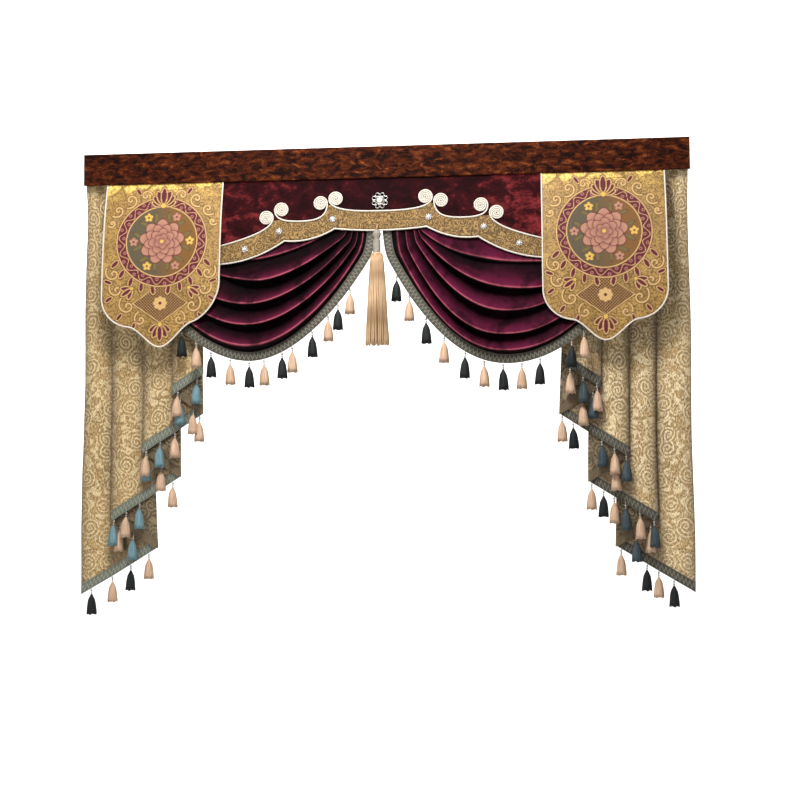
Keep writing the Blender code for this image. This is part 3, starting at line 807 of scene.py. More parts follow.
@dataclass(frozen=True)
class StitchedSatin(Finish):
    """Gold satin under embroidery, whose colour and cover come from the piece's own stitch attribute."""

    satin: Colour
    shade: Colour
    glint: Colour

    def look(self, nodes: Nodes, shop: Workshop) -> dict[str, Value]:
        """The satin, with a figure woven in and a painted highlight, a glint near its top, under the stitches.

        Args:
            nodes: The material's nodes.
            shop: The shared shader groups.

        Returns:
            What the Principled BSDF is given.
        """
        cloth = nodes.cloth()
        stitch = nodes.add("ShaderNodeAttribute", attribute_name="stitch")
        cover = nodes.out(stitch, "Alpha")
        (tone,) = nodes.use(shop.age, Vector=cloth, Scale=9.0)
        figure = nodes.step(nodes.noise(cloth, 70.0, 4.0, 2.6), 0.46, 0.58)
        satin = nodes.mix(figure * 0.80, self.satin, self.shade)
        satin = nodes.mix(tone * 0.40, satin, self.shade)
        shine = nodes.noise(nodes.stretched(cloth, (1.0, 1.6, 1.0)), 16.0, 3.0, 1.2)
        # Painted highlight: a patchy glint across the top of the tab, under the stitches.
        glint = nodes.step(nodes.split(cloth)[1], -0.17, -0.09) * nodes.step(shine, 0.44, 0.62)
        satin = nodes.mix(glint * (1.0 - figure * 0.65), satin, self.glint)
        floss = nodes.noise(nodes.stretched(cloth, (1.0, 0.18, 1.0)), 700.0, 2.0)
        shaded = nodes.mix(floss * 0.45, nodes.out(stitch, "Color"), (0.02, 0.01, 0.01))
        (threads,) = nodes.use(shop.weave, Vector=cloth, Threads=700.0)
        return dict(
            Base_Color=nodes.mix(cover, satin, shaded),
            Normal=nodes.bump(threads * 0.4 + (floss + figure) * 0.5, 0.0006, 0.55),
            Roughness=cover * 0.18 + 0.40,
            Specular_IOR_Level=0.22,
        )


@dataclass(frozen=True)
class TwistedThread(Finish):
    """Thread or cord seen along its own length, for piping, tassel skirts and bullion strands.

    Its lines are a noise stretched by lines, and slant, where it isn't 0, is how fast the plies turn.
    """

    light: Colour
    dark: Colour
    lines: tuple[float, float, float] = (1.0, 0.05, 1.0)
    scale: float = 60.0
    roughness: float = 0.55
    slant: float = 0.0

    def look(self, nodes: Nodes, shop: Workshop) -> dict[str, Value]:
        """The thread. A cord's plies are (1 + sin(slant u + 6 pi v)) / 2, u along it and v round it.

        Args:
            nodes: The material's nodes.
            shop: The shared shader groups.

        Returns:
            What the Principled BSDF is given.
        """
        cloth = nodes.cloth()
        along = nodes.stretched(cloth, self.lines)
        if self.slant:
            u, v, _ = nodes.split(cloth)
            ply = nodes.math("SINE", u * self.slant + v * (2 * math.pi * 3)) * 0.5 + 0.5
            height = ply + nodes.noise(along, self.scale, 2.0) * 0.4
        else:
            height = nodes.noise(along, self.scale, 3.0)
        (tone,) = nodes.use(shop.age, Vector=nodes.place(), Scale=30.0)
        colour = nodes.mix(nodes.step(height, 0.30, 0.72), self.dark, self.light)
        return dict(
            Base_Color=nodes.mix(tone * 0.25, colour, self.dark),
            Normal=nodes.bump(height, 0.0007, 0.7),
            Roughness=self.roughness,
            Specular_IOR_Level=0.15,
            Sheen_Weight=0.03,
        )


@dataclass(frozen=True)
class ZigzagBraid(Finish):
    """Flat woven braid with a zigzag rib, 28 mm wide."""

    ground: Colour
    rib: Colour
    pitch: float = 0.0145

    def look(self, nodes: Nodes, shop: Workshop) -> dict[str, Value]:
        """The braid. The rib follows v = 0.5 + 0.28 triangle(u / pitch), with v across the strip.

        Args:
            nodes: The material's nodes.
            shop: The shared shader groups.

        Returns:
            What the Principled BSDF is given.
        """
        cloth = nodes.cloth()
        u, v, _ = nodes.split(cloth)
        middle = nodes.math("PINGPONG", nodes.math("DIVIDE", u, self.pitch), 0.5) * 1.12 + 0.22
        edge = nodes.step(abs(v - 0.5), 0.40, 0.44)
        raised = nodes.math("MAXIMUM", nodes.step(abs(v - middle), 0.17, 0.06), edge * 0.35)
        (threads,) = nodes.use(shop.weave, Vector=nodes.stretched(cloth, (1.0, STRIP_WIDTH, 1.0)), Threads=800.0)
        (tone,) = nodes.use(shop.age, Vector=cloth, Scale=20.0)
        colour = nodes.mix(raised * 0.85, self.ground, self.rib)
        return dict(
            Base_Color=nodes.mix(tone * 0.3, colour, darker(self.ground, 0.5)),
            Normal=nodes.bump(raised + threads * 0.6, 0.0008, 0.7),
            Roughness=0.75,
            Specular_IOR_Level=0.3,
        )


@dataclass(frozen=True)
class Polished(Finish):
    """Pearl, crystal or silver."""

    colour: Colour
    metallic: float
    roughness: float
    coat: float = 0.0

    def look(self, nodes: Nodes, shop: Workshop) -> dict[str, Value]:
        """The polished form, slightly duller where it is handled.

        Args:
            nodes: The material's nodes.
            shop: The shared shader groups.

        Returns:
            What the Principled BSDF is given.
        """
        (tone,) = nodes.use(shop.age, Vector=nodes.place(), Scale=160.0)
        return dict(
            Base_Color=nodes.mix(tone * 0.35, self.colour, darker(self.colour, 0.55)),
            Roughness=tone * 0.12 + self.roughness,
            Metallic=self.metallic,
            Coat_Weight=self.coat,
        )


class Finishes:
    """Every material of the valance, by a maker's name for it."""

    def __init__(self) -> None:
        """Builds the shared groups and then the materials."""
        shop = Workshop()
        self.band = CrushedVelvet(
            "brown crushed velvet",
            dark=(0.006, 0.0010, 0.0004),
            middle=(0.052, 0.0095, 0.0022),
            bright=(0.230, 0.066, 0.0150),
            patches=48.0,
            stretch=(0.60, 1.0, 1.3),
            sheen=0.02,
        ).make(shop)
        self.panel = CrushedVelvet(
            "burgundy crushed velvet",
            dark=(0.0080, 0.0007, 0.0013),
            middle=(0.023, 0.0018, 0.0028),
            bright=(0.150, 0.016, 0.018),
            patches=20.0,
            stretch=(0.8, 1.0, 1.2),
            sheen=0.01,
            # Painted light on the panel's ends, painted shade on its middle.
            painted_end_light=0.14,
        ).make(shop)
        self.swag = CrushedVelvet(
            "wine velvet",
            dark=(0.0012, 0.0001, 0.0003),
            middle=(0.0040, 0.0003, 0.0011),
            bright=(0.020, 0.0012, 0.0060),
            patches=9.0,
            stretch=(1.0, 1.0, 0.7),
            sheen=0.01,
            # Painted highlight on the folds: the thin line's colour, then the softer band's.
            crest=(0.300, 0.062, 0.088),
            glow=(0.085, 0.006, 0.026),
        ).make(shop)
        brown_gold = ScrollDamask(
            "brown gold damask", (0.415, 0.255, 0.090), (0.670, 0.525, 0.285), (0.095, 0.060, 0.030)
        )
        light_gold = ScrollDamask(
            "light gold damask", (0.480, 0.308, 0.120), (0.800, 0.655, 0.400), (0.105, 0.066, 0.034)
        )
        self.damask = {Side.LEFT: brown_gold.make(shop), Side.RIGHT: light_gold.make(shop)}
        # The damask's reverse, darker than its right side: partly its own plainer colour, partly painted shade for the
        # tails' returns, where it shows.
        reverse_and_painted_shade = ((0.120, 0.084, 0.044), (0.250, 0.180, 0.090), (0.040, 0.028, 0.017))
        self.wrong_side = ScrollDamask("wrong side of the damask", *reverse_and_painted_shade, crease=0.0).make(shop)
        tan = ((0.132, 0.064, 0.011), (0.345, 0.204, 0.055), (0.016, 0.007, 0.002))
        self.border = ScrollDamask("tan gold damask", *tan, 0.046, 42.0, 70.0).make(shop)
        # The satin, its darker colour for the figure and wear, and the colour of the painted highlight near the top.
        satin = ((0.340, 0.200, 0.052), (0.085, 0.042, 0.010), (0.900, 0.600, 0.140))
        self.satin = StitchedSatin("embroidered gold satin", *satin).make(shop)
        ivory = ((0.720, 0.670, 0.590), (0.330, 0.280, 0.220))
        self.piping = TwistedThread("ivory cord", *ivory, (1.0, 0.03, 1.0), 500.0, slant=1500.0).make(shop)
        self.braid = ZigzagBraid("grey olive braid", (0.060, 0.055, 0.040), (0.200, 0.185, 0.145)).make(shop)
        self.tail_braid = ZigzagBraid("green grey braid", (0.130, 0.145, 0.115), (0.290, 0.290, 0.210)).make(shop)
        self.black = TwistedThread("black slate thread", (0.020, 0.022, 0.022), (0.004, 0.005, 0.005)).make(shop)
        self.beige = TwistedThread("beige thread", (0.660, 0.460, 0.320), (0.340, 0.210, 0.130)).make(shop)
        self.teal = TwistedThread("teal thread", (0.190, 0.300, 0.330), (0.080, 0.150, 0.170)).make(shop)
        self.slate = TwistedThread("dark slate thread", (0.065, 0.090, 0.100), (0.020, 0.030, 0.036)).make(shop)
        strand = ((0.600, 0.410, 0.240), (0.220, 0.130, 0.065))
        self.bullion = TwistedThread("bullion strand", *strand, (4.0, 2.2, 1.0), 3.0, 0.6).make(shop)
        floss = ((0.400, 0.360, 0.300), (0.120, 0.100, 0.080))
        self.knot = TwistedThread("silver grey floss", *floss, (0.05, 1.0, 1.0), 90.0, 0.45).make(shop)
        self.pearl = Polished("pearl", (0.640, 0.590, 0.520), 0.0, 0.18, 0.6).make(shop)
        self.silver = Polished("silver", (0.400, 0.380, 0.350), 1.0, 0.25).make(shop)
        self.crystal = Polished("crystal", (0.620, 0.620, 0.640), 0.35, 0.06, 1.0).make(shop)

    def trim(self, braid: Material, tint: Material) -> list[Material]:
        """A fringe's material slots: the braid, the beads' silver, the three threads and the wrong side."""
        return [braid, self.silver, self.black, self.beige, tint, self.wrong_side]


# The pieces


@dataclass
class Maker:
    """A sub-assembly of the valance, dressed in the valance's materials."""

    finishes: Finishes

    def build(self) -> list[Piece]:
        """Builds its pieces and settles them on the frame."""
        raise NotImplementedError


@dataclass
class HeadingBand(Maker):
    """The straight strip along the top, 2.00 m by 105 mm."""

    width: float = 2.0
    thickness: float = 0.003
    corner: float = 0.002
    pressed: float = 0.00025
    columns: int = 420
    rows: int = 25

    def build(self) -> list[Piece]:
        """A closed section carried along x: front, lower edge, back and upper edge.

        The front stands back by the pressed depth times 1 + a sum of waves, as pressed velvet does, but for
        a plain strip along each long edge.

        Returns:
            The band.
        """
        across = np.linspace(-self.width / 2, self.width / 2, self.columns)
        down = np.linspace(0.0, 1.0, self.rows)
        front = np.stack([np.full(self.rows, -self.thickness), -BAND_HEIGHT * down], axis=1)
        back = np.stack([np.zeros(2), np.array([-BAND_HEIGHT, 0.0])], axis=1)
        section = np.concatenate([front, back, front[:1]])
        points = np.zeros((len(section), len(across), 3))
        points[..., 0] = across[None, :]
        points[..., 1] = section[:, 0][:, None]
        points[..., 2] = section[:, 1][:, None]
        level = -points[..., 2]
        inner = (points[..., 1] < -self.thickness / 3) & (level > self.corner) & (level < BAND_HEIGHT - self.corner)
        wave = ripple(points[..., 0], points[..., 2], ((21.0, 40.0, 0.3), (47.0, -60.0, 1.9), (9.0, 90.0, 4.0)))
        points[..., 1] += inner * self.pressed * (1 + wave)
        sketch = MeshSketch().add_grid(points, points[..., [0, 2]])
        for end in (0, -1):
            edge = points[: self.rows, end]
            cap = np.stack([edge, edge * [1, 0, 1]])
            sketch.add_grid(cap, cap[..., [1, 2]])
        piece = sketch.make("brown_heading_band", [self.finishes.band], 1e-6)
        settle(piece, "brown_velvet", "heading_band")
        return [piece]


@dataclass
class BorderLine:
    """The shaped lines that the border, its piping and the panel share."""

    half: float = 0.548
    coil_radius: float = 0.0229
    coil_pitch: float = 0.0059
    coil_turns: float = 3.75
    piping: float = 0.0055
    valley: dict[str, tuple[float, float]] = field(
        default_factory=lambda: {"middle": (0.0, -0.2145), "side": (0.268, -0.2425), "outer": (0.548, -0.322)}
    )
    coil: dict[str, tuple[float, float, int]] = field(
        default_factory=lambda: {
            "first": (0.147, -0.171, 1),
            "second": (0.199, -0.185, -1),
            "third": (0.328, -0.203, 1),
            "fourth": (0.380, -0.229, -1),
        }
    )
    peak_top: dict[str, float] = field(default_factory=lambda: {"inner": -0.189, "outer": -0.236})
    panel_end: tuple[tuple[float, float], ...] = ((0.600, -0.290), (0.840, -0.242))

    @property
    def offset(self) -> float:
        """Distance from the middle of the piping to the cloth's edge."""
        return self.piping / 2 + SEAM_GAP

    @property
    def piping_y(self) -> float:
        """Depth of the piping's middle."""
        return PANEL_FRONT - SEAM_GAP - self.piping / 2

    def rise(self, valley: str, coil: str) -> Array:
        """The cord from a valley up to its coil, a Bezier curve that ends upright.

        Args:
            valley: Name of the valley that it starts in.
            coil: Name of the coil that it ends at.

        Returns:
            Its (x, z) points.
        """
        x, z, outward = self.coil[coil]
        end = (x + outward * self.coil_radius, z)
        start = self.valley[valley]
        if valley == "outer":
            control = [start, (0.440, -0.296), (end[0], -0.268), end]
        else:
            control = [start, (lerp(start[0], end[0], 0.55), start[1]), (end[0], lerp(start[1], end[1], 0.12)), end]
        return bezier(control, np.linspace(0.0, 1.0, 41))

    def coil_path(self, name: str) -> Array:
        """The coil from its outer turn inwards: radius R - P t and angle 2 pi t at turn t.

        Args:
            name: Name of the coil.

        Returns:
            Its (x, z) points.
        """
        x, z, outward = self.coil[name]
        turn = np.linspace(0.0, self.coil_turns, 190)[1:]
        reach = self.coil_radius - self.coil_pitch * turn
        return np.stack([x + outward * reach * np.cos(2 * np.pi * turn), z + reach * np.sin(2 * np.pi * turn)], axis=1)

    def lower(self) -> Array:
        """The lower edge from the middle outwards, three arcs that meet in cusps.

        Returns:
            Its (x, z) points.
        """
        arcs = (
            [(0.0, -0.275), (0.080, -0.275), (0.152, -0.266)],
            [(0.152, -0.266), (0.235, -0.314), (0.320, -0.303)],
            [(0.320, -0.303), (0.425, -0.374), (self.half, -0.377)],
        )
        t = np.linspace(0.0, 1.0, 31)
        return np.concatenate([bezier(arc, t)[:-1] for arc in arcs] + [np.array([[self.half, -0.377]])])

    def upper(self) -> Array:
        """The upper edge from the middle outwards, under the piping, and cut level at the peaks.

        Returns:
            Its (x, z) points.
        """
        first = offset_path(self.rise("middle", "first"), -self.offset)
        second = offset_path(self.rise("side", "second"), self.offset)[::-1]
        third = offset_path(self.rise("side", "third"), -self.offset)
        fourth = offset_path(self.rise("outer", "fourth"), self.offset)[::-1]
        inner = np.concatenate([first, second[:-1]])
        outer = np.concatenate([third, fourth])
        path = np.concatenate(
            [inner[inner[:, 1] < self.peak_top["inner"]], outer[outer[:, 1] < self.peak_top["outer"]]]
        )
        return path[np.argsort(path[:, 0], kind="stable")]

    def lowest_cloth(self, distance: Array) -> Array:
        """Height of the lowest flat cloth at a distance from the middle, read off its edge."""
        path = np.concatenate([self.lower(), np.array(self.panel_end)])
        return np.interp(distance, path[:, 0], path[:, 1])


@dataclass
class FlatFront(Maker):
    """The velvet panel, the arched gold border over it, and their piping."""

    line: BorderLine
    panel_lap: float = 0.010

    def between(self, name: str, x: Array, top: Array, low: Array, y: float, rows: int, finish: Material) -> Piece:
        """A flat cloth between two edges: z = top + (low - top) t at each x.

        Args:
            name: Name of the piece.
            x: Places along it.
            top: Height of its upper edge at each.
            low: Height of its lower edge at each.
            y: Depth of its middle.
            rows: Rows of points down it.
            finish: Its material.

        Returns:
            The cloth.
        """
        t = np.linspace(0.0, 1.0, rows)[:, None]
        z = lerp(top[None, :], low[None, :], t)
        points = np.stack(np.broadcast_arrays(x[None, :], y, z), axis=-1)
        piece = MeshSketch().add_grid(points, points[..., [0, 2]]).make(name, [finish])
        thicken(piece, CLOTH)
        return piece

    def build(self) -> list[Piece]:
        """Builds the panel, the border and the six cords.

        Returns:
            The pieces.
        """
        line = self.line
        end = line.panel_end[-1][0]
        x = np.linspace(-end, end, 321)
        path = np.concatenate([line.lower() + [0.0, self.panel_lap], np.array(line.panel_end)])
        low = np.interp(np.abs(x), path[:, 0], path[:, 1])
        panel = self.between("burgundy_panel", x, np.full_like(x, CLOTH_TOP), low, PANEL_Y, 40, self.finishes.panel)
        settle(panel, "burgundy_velvet", "velvet_panel")
        x = np.linspace(-line.half, line.half, 601)
        upper, lower = line.upper(), line.lower()
        top = np.interp(np.abs(x), upper[:, 0], upper[:, 1])
        border = self.between(
            "gold_border", x, top, np.interp(np.abs(x), lower[:, 0], lower[:, 1]), BORDER_Y, 14, self.finishes.border
        )
        settle(border, "gold_damask", "arched_border")
        return [panel, border, *self.cords()]

    def cords(self) -> list[Piece]:
        """The five cords of the upper edge, with their coils, and the one of the lower edge.

        Returns:
            The six cords.
        """
        line = self.line
        first = np.concatenate([line.rise("middle", "first"), line.coil_path("first")])
        routes = {"piping_middle": np.concatenate([mirrored(first, Side.LEFT)[::-1], first[1:]])}
        second = np.concatenate([line.rise("side", "second"), line.coil_path("second")])
        third = np.concatenate([line.rise("side", "third"), line.coil_path("third")])
        between = np.concatenate([second[::-1], third[1:]])
        outer = np.concatenate([line.rise("outer", "fourth"), line.coil_path("fourth")])
        for side in Side:
            routes[f"piping_side_{side.word}"] = mirrored(between, side)
            routes[f"piping_outer_{side.word}"] = mirrored(outer, side)
        low = offset_path(line.lower(), -line.offset)
        routes["piping_lower"] = np.concatenate([mirrored(low, Side.LEFT)[::-1], low[1:]])
        made = []
        for node, route in routes.items():
            sketch = MeshSketch().add_grid(*tube(resample(upright(route, line.piping_y), 0.0022), line.piping / 2, 10))
            made.append(settle(sketch.make("ivory_" + node, [self.finishes.piping], 1e-7), "ivory_cord", node))
        return made


@dataclass
class Jewels(Maker):
    """The six crystal buttons on the border and the flower brooch on the panel."""

    places: tuple[tuple[float, float], ...] = ((0.158, -0.238), (0.337, -0.274), (0.452, -0.331))
    brooch: tuple[float, float] = (-0.002, -0.180)

    def button(self, x: float, z: float) -> MeshSketch:
        """A pearl in a ring of eight small crystals.

        Args:
            x: Its place along the border.
            z: Its height.

        Returns:
            Its mesh, with the pearl in slot 0 and the crystals in slot 1.
        """
        y = BORDER_Y - CLOTH / 2 - SEAM_GAP
        sketch = MeshSketch().add_grid(*ball((x, y - 0.0034, z), 0.0055, 0.6, 14))
        angle = np.arange(8) * np.pi / 4
        rim = np.stack([x + 0.0078 * np.cos(angle), np.full(8, y - 0.0019), z + 0.0078 * np.sin(angle)], axis=1)
        sketch.add_copies(*ball((0.0, 0.0, 0.0), 0.0027, 0.68, 8), rim, [1] * 8)
        return sketch

    def flower(self) -> MeshSketch:
        """A domed pearl in a wire cup, eight open wire loops round it, and a crystal between each two.

        Returns:
            Its mesh, with the wire in slot 0, the crystals in slot 1 and the pearl in slot 2.
        """
        x, z = self.brooch
        y = PANEL_FRONT - SEAM_GAP
        sketch = MeshSketch()
        angle = np.arange(8) * np.pi / 4 + np.pi / 8
        t = np.linspace(0.0, 2 * np.pi, 29)
        for a in angle:
            out, over = np.array([np.cos(a), np.sin(a)]), np.array([-np.sin(a), np.cos(a)])
            reach, aside = 0.0205 + 0.0062 * np.cos(t), 0.0058 * np.sin(t)
            loop = np.array([x, z]) + reach[:, None] * out + aside[:, None] * over
            sketch.add_grid(*tube(upright(loop, y - 0.0022), 0.00145, 8))
        between = angle + np.pi / 8
        gems = np.stack([x + 0.0215 * np.cos(between), np.full(8, y - 0.0024), z + 0.0215 * np.sin(between)], axis=1)
        sketch.add_copies(*ball((0.0, 0.0, 0.0), 0.0024, 0.8, 8), gems, [1] * 8)
        ring = np.array([x, z]) + 0.0128 * np.stack([np.cos(t), np.sin(t)], axis=1)
        sketch.add_grid(*tube(upright(ring, y - 0.0035), 0.0022, 8))
        return sketch.add_grid(*ball((x, y - 0.0062, z), 0.0098, 0.55, 20), 2)

    def build(self) -> list[Piece]:
        """Builds the buttons and the brooch.

        Returns:
            The seven pieces.
        """
        made = []
        for side in Side:
            for index, (distance, height) in enumerate(self.places, 1):
                name = f"bead_{side.word}_{index}"
                piece = self.button(side.value * distance, height).make(
                    "crystal_" + name, [self.finishes.pearl, self.finishes.crystal], 1e-7
                )
                made.append(settle(piece, "pearl", name))
        flower = self.flower().make(
            "flower_brooch", [self.finishes.silver, self.finishes.crystal, self.finishes.pearl], 1e-7
        )
        made.append(settle(flower, "silver", "brooch"))
        return made


class Stitchery:
    """Paints an embroidered medallion on a flat field of points, colour over colour.

    The design is worked out from circles, folded petals and spirals about the middle line.
    """

    CREAM: Colour = (0.560, 0.350, 0.130)
    WINE: Colour = (0.095, 0.004, 0.014)
    ROSE: Colour = (0.130, 0.022, 0.030)
    BLUSH: Colour = (0.400, 0.190, 0.120)
    OLIVE: Colour = (0.080, 0.066, 0.034)
    OCHRE: Colour = (0.170, 0.072, 0.011)
    STRAW: Colour = (0.600, 0.370, 0.070)
    UMBER: Colour = (0.090, 0.030, 0.008)
    MOSS: Colour = (0.130, 0.100, 0.028)

    def __init__(self, x: Array, z: Array) -> None:
        """Starts with bare cloth at every point.

        Args:
            x: Distance of each point from the middle line.
            z: Height of each point.
        """
        self.x, self.z = x, z
        self.colour = np.zeros((*x.shape, 3))
        self.cover = np.zeros(x.shape)
        self.height = np.zeros(x.shape)

    def lay(self, inside: Array, colour: Colour | Array, height: float, edge: float = 0.0012) -> None:
        """Lays a colour where the signed distance is negative, softened over an edge's width.

        Args:
            inside: Signed distance of each point to the shape.
            colour: The colour, one for all or one a point.
            height: How far the stitches stand up.
            edge: Width of the soft edge.
        """
        share = smooth(0.5 - inside / edge)
        self.colour = lerp(self.colour, np.asarray(colour, float), share[..., None])
        self.cover = np.maximum(self.cover, share)
        self.height = lerp(self.height, height, share)

    def edged(self, inside: Array, colour: Colour | Array, height: float, rim: float) -> None:
        """Lays a colour with a dark edge of stitches round it."""
        self.lay(inside - rim, self.UMBER, 0.6 * height)
        self.lay(inside, colour, height)

    def polar(self, x: float, z: float) -> tuple[Array, Array]:
        """Distance and angle from a centre, the angle from straight up."""
        return np.hypot(self.x - x, self.z - z), np.arctan2(self.x - x, self.z - z)

    def ellipse(self, x: float, z: float, half: tuple[float, float], turn: float) -> Array:
        """Signed distance, nearly, to a turned ellipse: (|q / h| - 1) times the smaller half axis.

        Args:
            x: Middle of the ellipse.
            z: Height of its middle.
            half: Its half axes, across and up before the turn.
            turn: How far it is turned.

        Returns:
            The distances.
        """
        c, s = math.cos(turn), math.sin(turn)
        a = (self.x - x) * c + (self.z - z) * s
        b = -(self.x - x) * s + (self.z - z) * c
        return (np.hypot(a / half[0], b / half[1]) - 1) * min(half)

    def petals(
        self, x: float, z: float, count: int, reach: float, half: tuple[float, float], turn: float = 0.0
    ) -> Array:
        """Signed distance to a ring of ellipses, by folding the angle into one sector.

        Args:
            x: Middle of the ring.
            z: Height of its middle.
            count: Number of petals.
            reach: Distance from the middle of the ring to a petal's.
            half: A petal's half axes, across and outwards.
            turn: How far the ring is turned.

        Returns:
            The distances.
        """
        r, a = self.polar(x, z)
        sector = 2 * np.pi / count
        a = np.mod(a - turn + sector / 2, sector) - sector / 2
        return (np.hypot(r * np.sin(a) / half[0], (r * np.cos(a) - reach) / half[1]) - 1) * min(half)

    def line(self, path: Array, width: float) -> Array:
        """Signed distance to a stroke along a path, the least distance to its points less half the width.

        Args:
            path: (n, 2) points.
            width: Width of the stroke.

        Returns:
            The distances.
        """
        best = np.full(self.x.shape, 9.0)
        for px, pz in path:
            np.minimum(best, (self.x - px) ** 2 + (self.z - pz) ** 2, out=best)
        return np.sqrt(best) - width / 2

    def scroll(self, x: float, z: float, size: float, turn: float, hand: int, width: float = 0.0058) -> Array:
        """Signed distance to a leaf scroll, the spiral r = size e^(-0.25 a) from its foot inwards.

        Args:
            x: Middle of the spiral.
            z: Height of its middle.
            size: Its radius at the foot.
            turn: Direction of the foot from the middle.
            hand: 1 where it winds clockwise, or -1.
            width: Width of the stroke.

        Returns:
            The distances.
        """
        a = np.linspace(0.0, 8.0, 90)
        r = size * np.exp(-0.25 * a)
        path = np.stack([x + r * np.sin(turn + hand * a), z + r * np.cos(turn + hand * a)], axis=1)
        return self.line(path, width)

    def ring(self, x: float, z: float, inner: float, outer: float) -> None:
        """A wine ring with a running scroll of small curls, between two cream cords.

        Args:
            x: Middle of the ring.
            z: Height of its middle.
            inner: Its inner radius.
            outer: Its outer radius.
        """
        r, a = self.polar(x, z)
        middle, half = (inner + outer) / 2, (outer - inner) / 2
        self.lay(np.abs(r - middle) - half - 0.003, self.UMBER, 0.00020)
        self.lay(np.abs(r - middle) - half, self.WINE, 0.00030)
        count = 16
        sector = 2 * np.pi / count
        wave = middle + 0.62 * half * np.sin(count * a)
        self.lay(np.abs(r - wave) - 0.0013, self.CREAM, 0.00065, 0.0014)
        for shift, lift in ((0.25, -0.42), (0.75, 0.42)):
            fold = np.mod(a - shift * sector + sector / 2, sector) - sector / 2
            away = np.hypot(r - middle - lift * half, fold * r)
            self.lay(np.abs(away - 0.0042) - 0.0011, self.BLUSH, 0.00060, 0.0014)
        for cord in (inner, outer):
            self.lay(np.abs(r - cord) - 0.0019, self.CREAM, 0.00075)

    def blossom(self, x: float, z: float, size: float, colour: Colour, count: int = 5) -> None:
        """A small open flower."""
        self.edged(self.petals(x, z, count, 0.52 * size, (0.34 * size, 0.46 * size)), colour, 0.00060, 0.0014)
        self.lay(self.polar(x, z)[0] - 0.22 * size, self.WINE, 0.00075)

    def rosette(self, x: float, z: float, size: float) -> None:
        """A full round flower seen from above, in four rings of petals that shade towards its middle.

        Args:
            x: Middle of the flower.
            z: Height of its middle.
            size: Its radius.
        """
        r, _ = self.polar(x, z)
        rings = (
            (9, 0.68, (0.26, 0.34), 0.0),
            (9, 0.52, (0.20, 0.28), 0.35),
            (7, 0.35, (0.19, 0.24), 0.1),
            (5, 0.18, (0.14, 0.17), 0.4),
        )
        for level, (count, reach, half, turn) in enumerate(rings):
            shape = self.petals(x, z, count, reach * size, (half[0] * size, half[1] * size), turn)
            share = smooth((r / size - reach + 0.30) / 0.55)[..., None]
            petal = lerp(np.array(self.ROSE), np.array(self.BLUSH), share)
            self.lay(shape - 0.0020, self.WINE, 0.00035 + 0.00008 * level, 0.0016)
            self.lay(shape, petal, 0.00050 + 0.00008 * level, 0.0016)
        self.lay(r - 0.09 * size, self.STRAW, 0.00095)

    def fan(
        self, x: float, z: float, size: float, turn: float, count: int, colour: Colour, spread: float = 0.50
    ) -> None:
        """A palmette: pointed leaves spread evenly about a direction, each with a cream edge.

        Args:
            x: Foot of the leaves.
            z: Height of the foot.
            size: Length of the middle leaf.
            turn: Direction of the middle leaf.
            count: Number of leaves.
            colour: Their colour.
            spread: Angle between two leaves.
        """
        order = sorted(range(count), key=lambda k: -abs(k - (count - 1) / 2))
        for k in order:
            lean = turn + (k - (count - 1) / 2) * spread
            length = size * (1.0 - 0.12 * abs(k - (count - 1) / 2))
            cx, cz = x + 0.52 * length * math.sin(lean), z + 0.52 * length * math.cos(lean)
            half = (0.13 * size, 0.40 * length)
            self.edged(self.ellipse(cx, cz, (half[0] + 0.0036, half[1] + 0.0042), -lean), self.CREAM, 0.00065, 0.0016)
            self.lay(self.ellipse(cx, cz, half, -lean), colour, 0.00040)
        self.edged(self.polar(x, z)[0] - 0.13 * size, self.STRAW, 0.00085, 0.0014)

    def leaf(self, x: float, z: float, half: tuple[float, float], lean: float, colour: Colour) -> None:
        """One cream-edged leaf."""
        self.edged(self.ellipse(x, z, (half[0] + 0.0030, half[1] + 0.0034), -lean), self.CREAM, 0.00060, 0.0014)
        self.lay(self.ellipse(x, z, half, -lean), colour, 0.00040)

    def medallion(self) -> None:
        """Lays the whole design, from the ground up."""
        x, z, inner, outer = 0.0, -0.305, 0.119, 0.151
        r, _ = self.polar(x, z)
        ground = lerp(np.array(self.OLIVE), np.array(self.OCHRE), smooth((self.x + 0.05) / 0.11)[..., None])
        self.lay(r - inner, ground, 0.00015)
        self.net(0.0, -0.512)
        scrolls = (
            (0.062, -0.146, 0.030, 3.5),
            (0.112, -0.160, 0.030, 2.8),
            (0.152, -0.196, 0.026, 2.4),
            (0.170, -0.240, 0.016, 2.2),
            (0.158, -0.412, 0.030, 0.9),
            (0.146, -0.466, 0.030, 0.7),
            (0.108, -0.520, 0.036, 0.5),
            (0.064, -0.566, 0.027, 0.3),
        )
        for hand in (-1, 1):
            for px, pz, size, turn in scrolls:
                self.edged(self.scroll(hand * px, pz, size, hand * turn, hand), self.CREAM, 0.00070, 0.0018)
            for px, pz, lean in (
                (0.176, -0.440, 1.2),
                (0.172, -0.498, 2.2),
                (0.136, -0.556, 2.5),
                (0.088, -0.588, 2.8),
                (0.086, -0.132, 0.6),
            ):
                self.leaf(hand * px, pz, (0.0050, 0.0130), hand * lean, self.WINE)
            for k in range(5):
                lean = hand * (2.02 + 0.24 * k)
                reach = 0.172 - 0.002 * k
                self.leaf(
                    x + reach * math.sin(lean),
                    z + reach * math.cos(lean),
                    (0.0062, 0.0150),
                    lean + 0.35 * hand,
                    self.WINE,
                )
            self.fan(hand * 0.096, -0.462, 0.044, hand * 2.2, 3, self.WINE, 0.62)
        self.ring(x, z, inner, outer)
        self.fan(0.0, -0.182, 0.066, 0.0, 7, self.WINE, 0.42)
        self.fan(0.0, -0.582, 0.058, math.pi, 5, self.WINE)
        self.blossom(0.0, -0.512, 0.024, self.CREAM, 8)
        for k in range(6):
            lean = 2 * math.pi * k / 6 + math.pi / 6
            for swing in (-0.26, 0.26):
